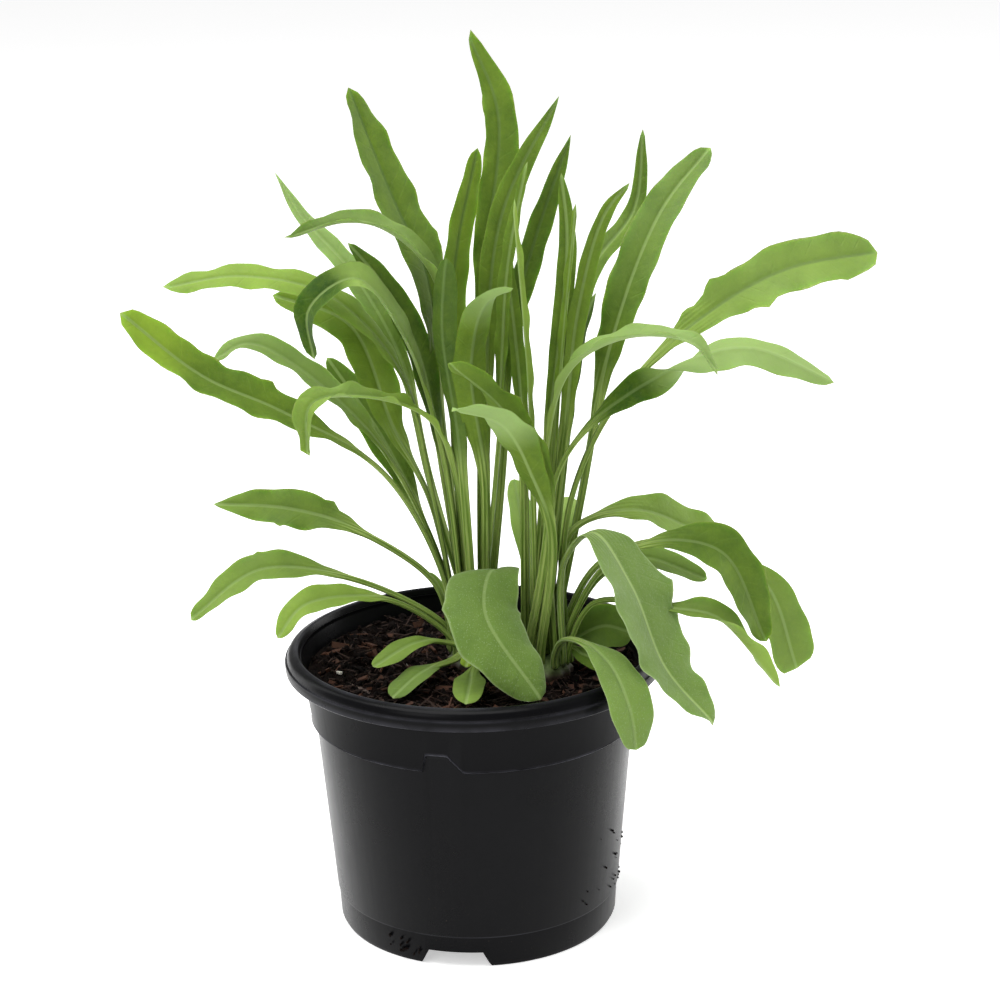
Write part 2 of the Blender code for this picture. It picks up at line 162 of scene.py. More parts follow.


# What a leaf may say beside its shape. A pair of lists runs a value along the leaf's length.
# shade, shades: the leaf's tone, 0 deep green, 1 light; a low value at a hanging end paints the shade it hangs in.    rib: 0 midrib painted dark as shade in its crease, 1 pale.    pale: how far the underside pales.
# bloom, downy: grey-green cast.           hairy: takes the downy material.
# fold, curl: degrees each half is raised, and bends further towards its margin.
# wave: the margin's ripple in millimetres.    start, blunt: how the tip narrows.
# twist: (share of the length, degrees).       teeth: (share of the length, side, millimetres).
LEAVES = {
    # Upright leaves of the left crown
    "leaf_tall_left": leaf("a", "inner", 155, 19, [(12, 79), (17, 133), (28, 156), (38, 179), (44, 194)],
        seat=130, widest=0.74, roll=-15, shade=0.32, rib=0.1, pale=0.1, fold=10, wave=0.7,
        teeth=[(0.72, -1, 1.0)]),
    "leaf_thin_left": leaf("a", "middle", 140, 9, [(21, 59), (33, 100), (54, 127), (78, 145), (90, 159)],
        seat=107, roll=-30, shade=0.35, pale=0.8, bloom=([0.6, 0.8, 1], [0.2, 0.7, 0.9]), start=1.8,
        blunt=0.9),
    "leaf_arch_left": leaf("a", "inner", 190, 11, [(7, 67), (13, 134), (29, 151), (42, 154), (62, 149)],
        seat=206, roll=-15, shades=([0, 0.6, 0.75, 1], [0.15, 0.0, 0.4, 0.2]),
        bloom=([0, 0.66, 0.8, 1], [0, 0, 0.6, 0.1]), curl=30, wave=0.8),
    "leaf_dark_left": leaf("a", "inner", 178, 11, [(11, 62), (19, 109), (30, 131), (41, 145)], seat=170,
        roll=-50, shade=0.2),
    "leaf_level_left": leaf("a", "middle", 185, 12,
        [(16, 64), (25, 102), (47, 128), (76, 136), (102, 133)], seat=205, roll=-30, shade=0.75,
        downy=0.3, curl=-25, wave=0.9, start=3.2, blunt=0.42),
    # The low shade on its hanging end is painted shade: there the leaf hangs in shadow.
    "leaf_folded_left": leaf("a", "middle", 198, 14,
        [(12, 75), (25, 117), (40, 136), (56, 127), (55, 110)], seat=229, roll=-25,
        shades=([0, 0.6, 0.8, 0.84, 1], [0.3, 0.5, 0.8, 0.05, 0.1]),
        bloom=([0, 0.55, 0.68, 0.8, 0.84], [0, 0, 0.7, 0.6, 0]), blunt=0.5),
    "leaf_broad_left": leaf("a", "middle", 172, 15, [(16, 55), (28, 80), (42, 116), (68, 126)], seat=157,
        roll=-60, shade=0.5, wave=1.2),
    "leaf_long_left": leaf("a", "outer", 195, 15, [(12, 28), (32, 68), (65, 92), (92, 107), (117, 130)],
        seat=199, roll=-45, shades=([0, 0.82, 0.9, 1], [0.35, 0.35, 0.95, 0.9]), wave=1.2, start=3.2,
        blunt=0.42, twist=[(0, 0), (0.82, 0), (0.94, -22), (1, -30)],
        teeth=[(0.6, -1, 1.8), (0.68, -1, 1.6)]),
    "leaf_back_left": leaf("a", "middle", 150, 12, [(19, 39), (36, 71), (59, 99)], seat=132, roll=-50,
        shade=0.25),
    "leaf_bowed_left": leaf("a", "middle", 178, 12, [(13, 34), (33, 76), (61, 104), (76, 111), (88, 105)],
        seat=181, roll=-25, shade=0.5, bloom=([0, 0.5, 0.7, 1], [0, 0, 0.5, 0.7]), wave=0.9),
    "leaf_hook_left": leaf("a", "inner", 215, 9, [(9, 68), (18, 87), (42, 99), (64, 100), (66, 83)],
        seat=244, widest=0.88, roll=-20, shade=0.55, bloom=([0, 0.6, 0.8, 1], [0, 0.1, 0.5, 0.1]),
        fold=30, wave=1.5, blunt=0.5),
    "leaf_yellow_green": leaf("a", "heart", 120, 10, [(14, 70, -2), (23, 129, -6), (30, 170, -20)],
        seat=150, shade=0.62, rib=0.2, pale=0.1, fold=8, blunt=0.45),
    "leaf_blunt_left": leaf("a", "middle", 240, 10, [(10, 76, 0), (13, 117, -4), (13, 142, -2)], seat=258,
        widest=0.85, shade=0.12, rib=0.2, pale=0.05, blunt=0.45),
    "leaf_tallest": leaf("a", "inner", 100, 14,
        [(7, 71, -2), (13, 136, -7), (19, 184, -13), (25, 211, -4)], seat=92, shade=0.36, rib=0.2,
        pale=0.15, fold=12, wave=1.2, teeth=[(0.93, 1, -1.6), (0.88, 1, 1.4)]),
    "leaf_pointed": leaf("a", "heart", 60, 9, [(5, 72, -1), (9, 151, -6), (14, 193, -26)], seat=50,
        roll=30, shade=0.38, rib=0.3, blunt=0.9),
    "leaf_slim": leaf("a", "heart", 350, 6, [(8, 74, -1), (12, 136), (19, 172)], seat=290, roll=60,
        shade=0.35),
    "leaf_second": leaf("a", "inner", 80, 9, [(8, 72, -8), (12, 106, -9), (18, 141, -18), (24, 177, -30)],
        seat=54, roll=20, shade=0.3, rib=0.2, wave=0.8, blunt=0.85),
    "leaf_front_bright": leaf("a", "inner", 290, 12,
        [(6, 64, 1), (14, 107, -6), (21, 129, -3), (28, 135, 4)], seat=292, shade=0.35, rib=0.3, pale=0.1,
        bloom=([0, 0.84, 0.94, 1], [0, 0, 1, 1]), wave=0.8),
    # Low leaves of the left crown
    "leaf_low_left": leaf("a", "outer", 165, 14, [(16, 25), (46, 43), (67, 48), (96, 48)], seat=160,
        blade=0.45, roll=-60, shade=0.38, downy=0.2, wave=2.0, start=2.0, blunt=0.9,
        teeth=[(0.62, -1, 1.6), (0.76, 1, 1.2)]),
    "leaf_drooping_left": leaf("a", "outer", 185, 13, [(12, 11), (40, 28), (74, 34), (99, 17)], seat=179,
        roll=-35, shade=0.5, downy=0.3, wave=0.9, start=2.0, teeth=[(0.72, -1, 0.9)]),
    "leaf_lip_left": leaf("a", "outer", 205, 11, [(16, 13), (36, 26), (64, 28), (74, 18)], seat=218,
        roll=-30, shade=0.75, downy=0.3, wave=0.9),
    "leaf_soil_left": leaf("a", "outer", 221, 8, [(16, 8), (28, 11), (47, 7)], seat=233, blade=0.3,
        widest=0.68, roll=-20, shade=0.55, downy=0.35, fold=8, blunt=0.45),
    "leaf_soil_dark": leaf("a", "outer", 233, 11, [(15, 2), (32, 3), (48, -1)], seat=256, blade=0.4,
        shade=0.25, downy=0.3, fold=8, blunt=0.45),
    "leaf_yellow_bud": leaf("a", "outer", 258, 5, [(13, 4), (22, 3)], seat=278, blade=0.25, shade=1.4,
        rib=1.0, fold=4, blunt=0.45),
    "leaf_soil_front": leaf("a", "outer", 265, 11, [(22, 2), (36, 2), (50, 1)], seat=298, blade=0.35,
        shade=0.45, downy=0.3, fold=8, blunt=0.42),
    "leaf_front_broad": leaf("a", "outer", 290, 27,
        [(15, 33, 4), (23, 37, -4), (35, 27, -10), (54, 2, 2)], seat=318, blade=0.2, widest=0.6,
        shade=0.45, downy=0.15, hairy=1.0, fold=6, curl=-40, wave=0.9, start=2.0, blunt=0.5,
        teeth=[(0.62, -1, 1.2)]),
    "leaf_small_left": leaf("a", "outer", 140, 5, [(12, 12), (22, 25)], seat=136, shade=0.6, downy=0.3),
    # Upright leaves of the right crown
    "leaf_wing_right": leaf("b", "middle", 10, 18, [(11, 57), (28, 92), (61, 121), (86, 133), (117, 137)],
        seat=20, blade=0.5, widest=0.85, roll=60, shade=0.6, rib=0.25,
        bloom=([0, 0.5, 0.8, 1], [0, 0.1, 0.45, 0.4]), wave=1.3, start=3.0, blunt=0.42,
        teeth=[(0.66, 1, 1.6), (0.72, 1, 2.6), (0.78, -1, 2.6), (0.94, -1, 1.4)]),
    "leaf_twisted_right": leaf("b", "middle", 352, 14, [(7, 69), (34, 98), (68, 112), (98, 101)],
        seat=312, roll=60, shades=([0, 0.6, 0.68, 1], [0.2, 0.05, 0.4, 0.3]), rib=0.3,
        bloom=([0, 0.62, 0.7, 1], [0, 0, 0.85, 0.8]), wave=0.7,
        twist=[(0, 0), (0.6, 0), (0.74, 150), (1, 165)]),
    "leaf_arch_right": leaf("b", "inner", 340, 9, [(3, 76), (12, 105), (32, 117), (54, 116), (62, 106)],
        seat=332, roll=10, shade=0.5, bloom=([0, 0.5, 0.7, 1], [0, 0, 0.8, 0.9]), curl=30, wave=0.9,
        blunt=0.5),
    "leaf_tall_right": leaf("b", "middle", 40, 15, [(19, 54), (34, 108), (56, 148), (80, 168)], seat=50,
        roll=25, shade=0.28, pale=0.2, bloom=([0, 0.6, 0.8, 1], [0, 0.05, 0.3, 0.35]), wave=1.0,
        blunt=0.5),
    "leaf_hooked_right": leaf("b", "middle", 60, 7, [(23, 88), (36, 127), (72, 146), (78, 172)], seat=72,
        roll=40, shade=0.35, downy=0.15),
    "leaf_sickle_right": leaf("b", "inner", 80, 7,
        [(8, 81, -8), (13, 121, -12), (21, 152, -20), (25, 162, -28)], seat=100, roll=30, shade=0.45),
    "leaf_dark_right": leaf("b", "inner", 50, 6, [(14, 73), (25, 112), (32, 124)], seat=60, shade=0.1),
    "leaf_back_upright": leaf("b", "middle", 100, 7, [(5, 81, -5), (12, 144, -13), (16, 166, -12)],
        seat=105, shade=0.35),
    "leaf_bud_tip": leaf("b", "heart", 200, 5, [(4, 93, 4), (8, 162, 2)], seat=180, shade=0.5),
    "leaf_bud_side": leaf("b", "heart", 25, 5, [(8, 95), (15, 158)], seat=60, shade=0.45),
    "leaf_hidden_tip": leaf("b", "middle", 115, 6, [(13, 91), (26, 148)], seat=130, shade=0.4),
    "leaf_front_bent": leaf("b", "middle", 235, 14, [(8, 66, 9), (21, 95, 1), (37, 113, -9)], seat=235,
        widest=0.84, shade=0.4, pale=0.1, wave=1.2, blunt=0.42,
        teeth=[(0.8, 1, 0.8), (0.87, -1, 0.8), (0.93, 1, 0.7)]),
    "leaf_front_rolled": leaf("b", "middle", 255, 14,
        [(10, 49, 7), (20, 73, 3), (33, 94, -4), (44, 101, -17)], seat=268, widest=0.8, shade=0.3,
        pale=0.1, bloom=([0, 0.72, 0.82, 1], [0, 0, 1, 1]), wave=1.0, blunt=0.45),
    # Low leaves of the right crown
    "leaf_back_right": leaf("b", "outer", 30, 16, [(12, 44), (38, 48), (64, 36), (84, 24)], seat=30,
        roll=45, shade=0.6, downy=0.35, wave=0.9),
    "leaf_dark_low_right": leaf("b", "middle", 350, 18, [(21, 34), (41, 45), (62, 42), (77, 11)],
        seat=336, roll=40, shade=0.28, rib=0.4, wave=0.9, blunt=0.6),
    "leaf_inner_low_right": leaf("b", "middle", 0, 11, [(20, 30), (34, 37), (57, 29)], seat=357, roll=30,
        shade=0.45, downy=0.35, blunt=0.5),
    "leaf_curled_right": leaf("b", "outer", 344, 12, [(19, 23), (46, 23), (62, 21), (83, -2)], seat=332,
        roll=30, shades=([0, 0.7, 0.8, 1], [0.5, 0.5, 0.85, 0.8]), downy=0.3, curl=30, wave=1.0,
        start=1.6, blunt=0.6, twist=[(0, 0), (0.65, 0), (0.85, -80), (1, -100)]),
    "leaf_oval_right": leaf("b", "outer", 20, 17, [(21, 32), (46, 38), (84, 18), (98, -17)], seat=48,
        blade=0.55, widest=0.9, roll=50, shade=0.5, downy=0.3, wave=0.5, start=4.5, blunt=0.42,
        twist=[(0, 0), (0.55, 0), (0.8, 38), (1, 38)]),
    "leaf_front_right": leaf("b", "outer", 325, 31, [(10, 38), (22, 50), (37, 34), (50, 8), (69, -8)],
        seat=316, blade=0.3, widest=0.62, shade=0.5, rib=1.0, downy=0.25, hairy=1.0, fold=10, wave=1.3,
        start=1.9, teeth=[(0.62, 1, 1.2), (0.7, 1, 1.6)]),
    "leaf_rim_right": leaf("b", "outer", 302, 17, [(14, 12), (30, 15), (44, 11), (54, -1), (57, -13)],
        seat=297, blade=0.3, shade=0.6, downy=0.25, hairy=0.5, curl=-15, blunt=0.45),
    "leaf_round_right": leaf("b", "outer", 5, 16, [(14, 9), (22, 12), (32, 9)], seat=12, blade=0.15,
        widest=0.62, roll=55, shade=0.3, downy=0.2, fold=6, blunt=0.42),
    "leaf_round_low": leaf("b", "outer", 345, 11, [(15, 4), (26, 1)], seat=352, blade=0.2, roll=30,
        shade=0.3, fold=6, blunt=0.45),
    "leaf_pale_back": leaf("b", "outer", 110, 9, [(13, 20, -1), (25, 36, -4), (45, 52, -8)], seat=110,
        shade=0.9, pale=1.0, bloom=([0, 1], [0.6, 0.6]), blunt=0.5),
    "leaf_pale_side": leaf("b", "outer", 70, 8, [(13, 28, -4), (25, 45, -2), (40, 47, 2)], seat=75,
        shade=0.9, pale=1.0, bloom=([0, 1], [0.6, 0.6]), blunt=0.5),
}


# Modelling helpers

def deselect_all():
    if bpy.context.object and bpy.context.object.mode != "OBJECT":
        bpy.ops.object.mode_set(mode="OBJECT")
    bpy.ops.object.select_all(action="DESELECT")


def made(name):
    """The object that an operator just made, under the piece's own name."""
    obj = bpy.context.object
    obj.name = name
    obj.data.name = name
    return obj


def finished(obj, finish, slot, *nodes, angle=40.0):
    """Scale the piece to metres, leave its object at the origin and hang it from the root body."""
    deselect_all()
    obj.select_set(True)
    bpy.context.view_layer.objects.active = obj
    bpy.ops.object.transform_apply(location=True, rotation=True, scale=True)
    obj.data.transform(Matrix.Scale(MM, 4))
    bpy.ops.object.shade_smooth_by_angle(angle=math.radians(angle))
    obj.data.materials.clear()
    obj.data.materials.append(finish)
    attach(obj, "root")
    if nodes:
        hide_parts(*nodes)
    obj.select_set(False)
    return obj


def coordinates(mesh):
    found = np.empty(len(mesh.vertices) * 3)
    mesh.vertices.foreach_get("co", found)
    return found.reshape(-1, 3)


def place_vertices(mesh, points):
    mesh.vertices.foreach_set("co", points.astype(np.float32).ravel())
    mesh.update()


def keep_values(mesh, name, values):
    """Store three numbers a vertex for the material to read."""
    layer = mesh.attributes.new(name, "FLOAT_VECTOR", "POINT")
    layer.data.foreach_set("vector", values.astype(np.float32).ravel())


def smooth(x):
    x = np.clip(x, 0.0, 1.0)
    return x * x * (3.0 - 2.0 * x)


# Node helpers

def fill(tree, target, values):
    """Link or set a node's inputs, by name or place."""
    for key, value in values.items():
        if isinstance(value, bpy.types.NodeSocket):
            tree.links.new(value, target.inputs[key])
        else:
            target.inputs[key].default_value = value


def node(tree, kind, values=None, **settings):
    """Add a shader node; values are numbers, colours or sockets to link, by input name or place."""
    new = tree.nodes.new(kind)
    for key, value in settings.items():
        setattr(new, key, value)
    fill(tree, new, values or {})
    return new


def maths(tree, operation, a, b=0.0, c=0.0, clamp=False):
    new = node(tree, "ShaderNodeMath", {0: a, 1: b, 2: c}, operation=operation, use_clamp=clamp)
    return new.outputs[0]


def blend(tree, share, a, b):
    """Colour a where the share is 0, colour b where it is 1."""
    return node(tree, "ShaderNodeMix", {0: share, 6: a, 7: b}, data_type="RGBA").outputs[2]


def ramp(tree, value, low, high):
    """0 at low and 1 at high, eased."""
    new = node(tree, "ShaderNodeMapRange", {0: value, 1: low, 2: high, 3: 0.0, 4: 1.0},
               interpolation_type="SMOOTHSTEP")
    return new.outputs[0]


def noise_value(tree, vector, scale, detail=3.0, roughness=0.55):
    new = node(tree, "ShaderNodeTexNoise", {"Vector": vector, "Scale": scale, "Detail": detail,
                                            "Roughness": roughness})
    return new.outputs[0]


def stretched(tree, vector, scale):
    return node(tree, "ShaderNodeMapping", {"Vector": vector, "Scale": scale}).outputs[0]


def attribute(tree, name):
    return node(tree, "ShaderNodeAttribute", attribute_name=name).outputs["Vector"]


def parts_of(tree, vector):
    return node(tree, "ShaderNodeSeparateXYZ", {0: vector}).outputs


def place_of(tree):
    return node(tree, "ShaderNodeTexCoord").outputs["Object"]


def new_material(name):
    made_new = bpy.data.materials.new(name)
    made_new.use_nodes = True
    shader = made_new.node_tree.nodes["Principled BSDF"]
    return made_new, made_new.node_tree, shader


def new_group(name, inputs, outputs):
    """A shader node group with float, colour or vector sockets."""
    kinds = {"value": "NodeSocketFloat", "colour": "NodeSocketColor", "vector": "NodeSocketVector"}
    group = bpy.data.node_groups.new(name, "ShaderNodeTree")
    for label, kind in inputs:
        group.interface.new_socket(label, in_out="INPUT", socket_type=kinds[kind])
    for label, kind in outputs:
        group.interface.new_socket(label, in_out="OUTPUT", socket_type=kinds[kind])
    entry = group.nodes.new("NodeGroupInput").outputs
    result = group.nodes.new("NodeGroupOutput").inputs
    return group, entry, result


def use_group(tree, group, values):
    """Place a group, then fill its inputs, which it only has once its tree is set."""
    return node(tree, "ShaderNodeGroup", values, node_tree=group).outputs


def bumped(tree, height, strength, distance):
    """The normals of a surface raised by a height; distance is in metres."""
    return node(tree, "ShaderNodeBump", {"Height": height, "Strength": strength,
                                         "Distance": distance}).outputs[0]


def mottle_group():
    """Uneven tone: broad patches and fine grain, mixed between two colours."""
    group, given, result = new_group("mottle", [("Place", "vector"), ("Size", "value"), ("First", "colour"),
                                                ("Second", "colour"), ("Contrast", "value")],
                                     [("Colour", "colour"), ("Mask", "value")])
    broad = noise_value(group, given["Place"], given["Size"], 2.0)
    finer = maths(group, "MULTIPLY", given["Size"], 6.0)
    grain = noise_value(group, given["Place"], finer, 4.0, 0.65)
    both = maths(group, "MULTIPLY_ADD", grain, 0.4, maths(group, "MULTIPLY", broad, 0.6))
    centred = maths(group, "SUBTRACT", both, 0.5)
    spread = maths(group, "MULTIPLY_ADD", centred, given["Contrast"], 0.5, clamp=True)
    group.links.new(blend(group, spread, given["First"], given["Second"]), result["Colour"])
    group.links.new(spread, result["Mask"])
    return group


def veins_group():
    """A leaf's midrib and side veins, from the distance run along it and out from its middle."""
    group, given, result = new_group("leaf_veins", [("Run", "value"), ("Reach", "value"), ("Blade", "value"),
                                                    ("Wander", "value")],
                                     [("Midrib", "value"), ("Sides", "value")])
    out = maths(group, "ABSOLUTE", given["Reach"])
    taper = maths(group, "MULTIPLY_ADD", given["Blade"], -0.35, 1.15)
    midrib = maths(group, "SUBTRACT", 1.0, ramp(group, maths(group, "DIVIDE", out, taper), 0.35, 1.0))
    lean = maths(group, "MULTIPLY_ADD", out, -0.75, given["Run"])
    lean = maths(group, "MULTIPLY_ADD", given["Wander"], 2.5, lean)
    side = maths(group, "LESS_THAN", given["Reach"], 0.0)
    lean = maths(group, "MULTIPLY_ADD", side, 2.6, lean)
    spot = maths(group, "PINGPONG", lean, 2.8)
    line = maths(group, "SUBTRACT", 1.0, ramp(group, spot, 0.05, 0.55))
    line = maths(group, "MULTIPLY", line, given["Blade"])
    group.links.new(midrib, result["Midrib"])
    group.links.new(line, result["Sides"])
    return group


def leaf_material(name, deep, light, under, hair):
    """Leaf: deep to light green by its shade, paler beneath, with veins, down and a midrib that runs from
    painted crease shade to pale.

    Where the blade's share is low the leaf is stalk: ribbed and streaked along its run.
    """
    finish, tree, shader = new_material(name)
    lie = attribute(tree, "lie")
    run, reach, beneath = parts_of(tree, lie)
    shade, blade, edge = parts_of(tree, attribute(tree, "make"))
    rib, pale, bloom = parts_of(tree, attribute(tree, "face"))
    place = place_of(tree)
    wander = noise_value(tree, place, 90.0, 2.0)
    veins = use_group(tree, VEINS, {"Run": run, "Reach": reach, "Blade": blade, "Wander": wander})
    tone = use_group(tree, MOTTLE, {"Place": place, "Size": 85.0, "First": deep, "Second": light,
                                    "Contrast": 1.3})
    mask = maths(tree, "MULTIPLY_ADD", maths(tree, "SUBTRACT", tone["Mask"], 0.5), 0.6, shade)
    top = blend(tree, maths(tree, "ADD", mask, 0.0, clamp=True), deep, light)
    faint = maths(tree, "MULTIPLY", veins["Sides"], ramp(tree, noise_value(tree, place, 130.0), 0.4, 0.65))
    top = blend(tree, maths(tree, "MULTIPLY", faint, 0.06), top, VEIN_TONE)
    # The midrib's line runs from painted shade in its crease (rib 0) to a pale midrib (rib 1).
    rib_tone = blend(tree, rib, RIB_CREASE_SHADE, PALE_RIB)
    top = blend(tree, maths(tree, "MULTIPLY", veins["Midrib"], 0.6), top, rib_tone)
    low = blend(tree, maths(tree, "MULTIPLY", mask, 0.6), under, light)
    low = blend(tree, maths(tree, "MULTIPLY", veins["Midrib"], 0.5), low, UNDER_RIB)
    low = blend(tree, pale, top, low)
    flesh = blend(tree, beneath, top, low)
    flesh = blend(tree, maths(tree, "MULTIPLY", bloom, 0.75), flesh, BLOOM)
    lines = maths(tree, "SINE", maths(tree, "MULTIPLY", reach, 4.5))
    streak = noise_value(tree, stretched(tree, lie, (0.03, 1.1, 3.0)), 1.0, 2.0)
    ribbed = maths(tree, "MULTIPLY_ADD", lines, 0.22, ramp(tree, streak, 0.3, 0.7))
    stalk = blend(tree, ribbed, STALK_GROOVE, STALK_RIDGE)
    colour = blend(tree, ramp(tree, blade, 0.05, 0.75), stalk, flesh)
    margin = HAIRY_MARGIN if hair > 0.1 else PLAIN_MARGIN
    colour = blend(tree, maths(tree, "MULTIPLY", ramp(tree, edge, 0.93, 1.0), 0.4), colour, margin)
    down = noise_value(tree, stretched(tree, place, (2600.0, 2600.0, 1400.0)), 1.0, 2.0, 0.7)
    frost = maths(tree, "MULTIPLY", ramp(tree, down, 0.56, 0.76), hair)
    colour = blend(tree, frost, colour, DOWN)
    crinkle = noise_value(tree, place, 420.0, 3.0, 0.6)
    blister = noise_value(tree, place, 170.0, 2.0, 0.5)
    fine = maths(tree, "MULTIPLY", crinkle, 0.4 + hair)
    quilt = maths(tree, "MULTIPLY_ADD", blister, 1.2 + 1.5 * hair, fine)
    relief = maths(tree, "MULTIPLY_ADD", faint, -0.22, quilt)
    ridged = maths(tree, "MULTIPLY", maths(tree, "SUBTRACT", 1.0, blade), 0.45)
    relief = maths(tree, "MULTIPLY_ADD", lines, ridged, relief)
    fill(tree, shader, {
        "Base Color": colour,
        "Roughness": maths(tree, "MULTIPLY_ADD", tone["Mask"], 0.15, 0.52),
        "Specular IOR Level": 0.12,
        "Sheen Weight": 0.4 * hair,
        "Sheen Roughness": 0.5,
        "Subsurface Weight": 0.15,
        "Subsurface Radius": (0.5, 1.0, 0.15),
        "Subsurface Scale": 0.0012,
        "Normal": bumped(tree, relief, 0.6, 0.0006),
    })
    return finish


def pot_material():
    """Moulded black plastic: satin and a little dusty, with thin highlight lines painted along its sharp
    edges.
    """
    finish, tree, shader = new_material("pot_black_plastic")
    place = place_of(tree)
    tone = use_group(tree, MOTTLE, {"Place": place, "Size": 25.0, "First": (0.0018, 0.0018, 0.0022, 1.0),
                                    "Second": (0.0035, 0.0035, 0.0042, 1.0), "Contrast": 2.0})
    height = parts_of(tree, place)[2]
    low = maths(tree, "SUBTRACT", 1.0, ramp(tree, height, 0.004, 0.05))
    specks = ramp(tree, noise_value(tree, place, 1400.0, 2.0, 0.7), 0.68, 0.76)
    dust = maths(tree, "MULTIPLY", specks, maths(tree, "MULTIPLY_ADD", low, 0.35, 0.08))
    colour = blend(tree, dust, tone["Colour"], (0.06, 0.04, 0.028, 1.0))
    # Painted highlights: thin lighter lines on the sharp edges, broken by noise, stand in for the light
    # those edges catch.
    edge_highlight = parts_of(tree, attribute(tree, "edge_highlight"))[0]
    highlight_lines = maths(tree, "MULTIPLY", edge_highlight, ramp(tree, noise_value(tree, place, 60.0), 0.25, 0.7))
    colour = blend(tree, maths(tree, "MULTIPLY", highlight_lines, 0.55), colour, (0.10, 0.10, 0.12, 1.0))
    grain = noise_value(tree, place, 900.0, 2.0)
    drawn = noise_value(tree, stretched(tree, place, (160.0, 160.0, 12.0)), 1.0, 2.0)
    relief = maths(tree, "MULTIPLY_ADD", drawn, 1.5, maths(tree, "MULTIPLY", grain, 0.15))
    fill(tree, shader, {
        "Base Color": colour,
        "Roughness": maths(tree, "MULTIPLY_ADD", tone["Mask"], 0.10, 0.24),
        "Specular IOR Level": 0.07,
        "Normal": bumped(tree, relief, 0.25, 0.0002),
    })
    return finish


def mottled_material(name, size, first, second, contrast, rough, specular, strength, distance):
    """Peat, fibres, bark and twig: two colours unevenly mixed, raised where the second one shows."""
    finish, tree, shader = new_material(name)
    tone = use_group(tree, MOTTLE, {"Place": place_of(tree), "Size": size, "First": first,
                                    "Second": second, "Contrast": contrast})
    fill(tree, shader, {
        "Base Color": tone["Colour"],
        "Roughness": rough,
        "Specular IOR Level": specular,
        "Normal": bumped(tree, tone["Mask"], strength, distance),
    })
    return finish


def peat_material():
    """Dark damp peat: almost black to red-brown."""
    return mottled_material("peat", 240.0, (0.0012, 0.0009, 0.0007, 1.0), (0.013, 0.0065, 0.0048, 1.0),
                            4.0, 0.75, 0.08, 0.9, 0.0012)


def fibre_material(name, first, second):
    return mottled_material(name, 300.0, first, second, 2.4, 0.7, 0.2, 0.6, 0.0003)


def crown_material():
    """Bases of the stalks: pale green above, purple-brown and soiled at the peat."""
    finish, tree, shader = new_material("crown_flesh")
    place = place_of(tree)
    tone = use_group(tree, MOTTLE, {"Place": place, "Size": 220.0, "First": (0.10, 0.17, 0.04, 1.0),
                                    "Second": (0.24, 0.33, 0.11, 1.0), "Contrast": 2.0})
    height = parts_of(tree, place)[2]
    soiled = maths(tree, "SUBTRACT", 1.0, ramp(tree, height, SOIL_TOP * MM, (SOIL_TOP + 3.5) * MM))
    colour = blend(tree, soiled, tone["Colour"], (0.05, 0.032, 0.02, 1.0))
    fill(tree, shader, {"Base Color": colour, "Roughness": 0.6,
                        "Normal": bumped(tree, tone["Mask"], 0.5, 0.0004)})
    return finish


# Leaves

def midrib(spec):
    """The route's points in the pot's frame, from the stalk's foot to the tip."""
    x, y = CROWNS[spec["crown"]]
    heading = math.radians(spec["heading"])
    seat = math.radians(spec["seat"])
    radius = RINGS[spec["ring"]]
    foot = np.array([x + radius * math.cos(seat), y + radius * math.sin(seat), CROWN_TOP + GAP])
    points = [foot, foot + np.array([0.0, 0.0, LEAD])]
    along = np.array([math.cos(heading), math.sin(heading), 0.0])
    across = np.array([-math.sin(heading), math.cos(heading), 0.0])
    for out, up, *aside in spec["route"]:
        left = aside[0] if aside else 0.0
        points.append(np.array([x, y, CROWN_TOP + up]) + along * out + across * left)
    return points


def curve_through(points, samples=24):
    """A centripetal Catmull-Rom curve through the points, as many close samples."""
    ends = [points[0] * 2 - points[1], *points, points[-1] * 2 - points[-2]]
    found = []
    for p0, p1, p2, p3 in zip(ends, ends[1:], ends[2:], ends[3:]):
        t1 = np.linalg.norm(p1 - p0) ** 0.5
        t2 = t1 + np.linalg.norm(p2 - p1) ** 0.5
        t3 = t2 + np.linalg.norm(p3 - p2) ** 0.5
        for step in range(samples):
            t = t1 + (t2 - t1) * step / samples
            a1 = p0 + (p1 - p0) * (t / t1)
            a2 = p1 + (p2 - p1) * ((t - t1) / (t2 - t1))
            a3 = p2 + (p3 - p2) * ((t - t2) / (t3 - t2))
            b1 = a1 + (a2 - a1) * (t / t2)
            b2 = a2 + (a3 - a2) * ((t - t1) / (t3 - t1))
            found.append(b1 + (b2 - b1) * ((t - t1) / (t2 - t1)))
    return np.array([*found, points[-1]])


def half_width(t, spec):
    """Half the leaf's width: a narrow stalk, a lance-shaped blade and a rounded point."""
    stalk = STALK_WIDTH / 2.0
    full = max(spec["width"] / 2.0, stalk)
    rising = stalk + (full - stalk) * smooth((t - spec["blade"]) / (spec["widest"] - spec["blade"]))
    end = np.clip((t - spec["widest"]) / (1.0 - spec["widest"]), 0.0, 1.0)
    falling = full * (1.0 - end ** spec.get("start", 2.6)) ** spec.get("blunt", 0.6)
    return np.where(t < spec["widest"], rising, falling)


def ripple(seed, run, length):
    """A slow irregular wave between -1 and 1 along the leaf."""
    first = np.sin(math.tau * run / length + seed)
    second = np.sin(math.tau * run / (length * 0.57) + 2.3 * seed)
    return 0.65 * first + 0.35 * second


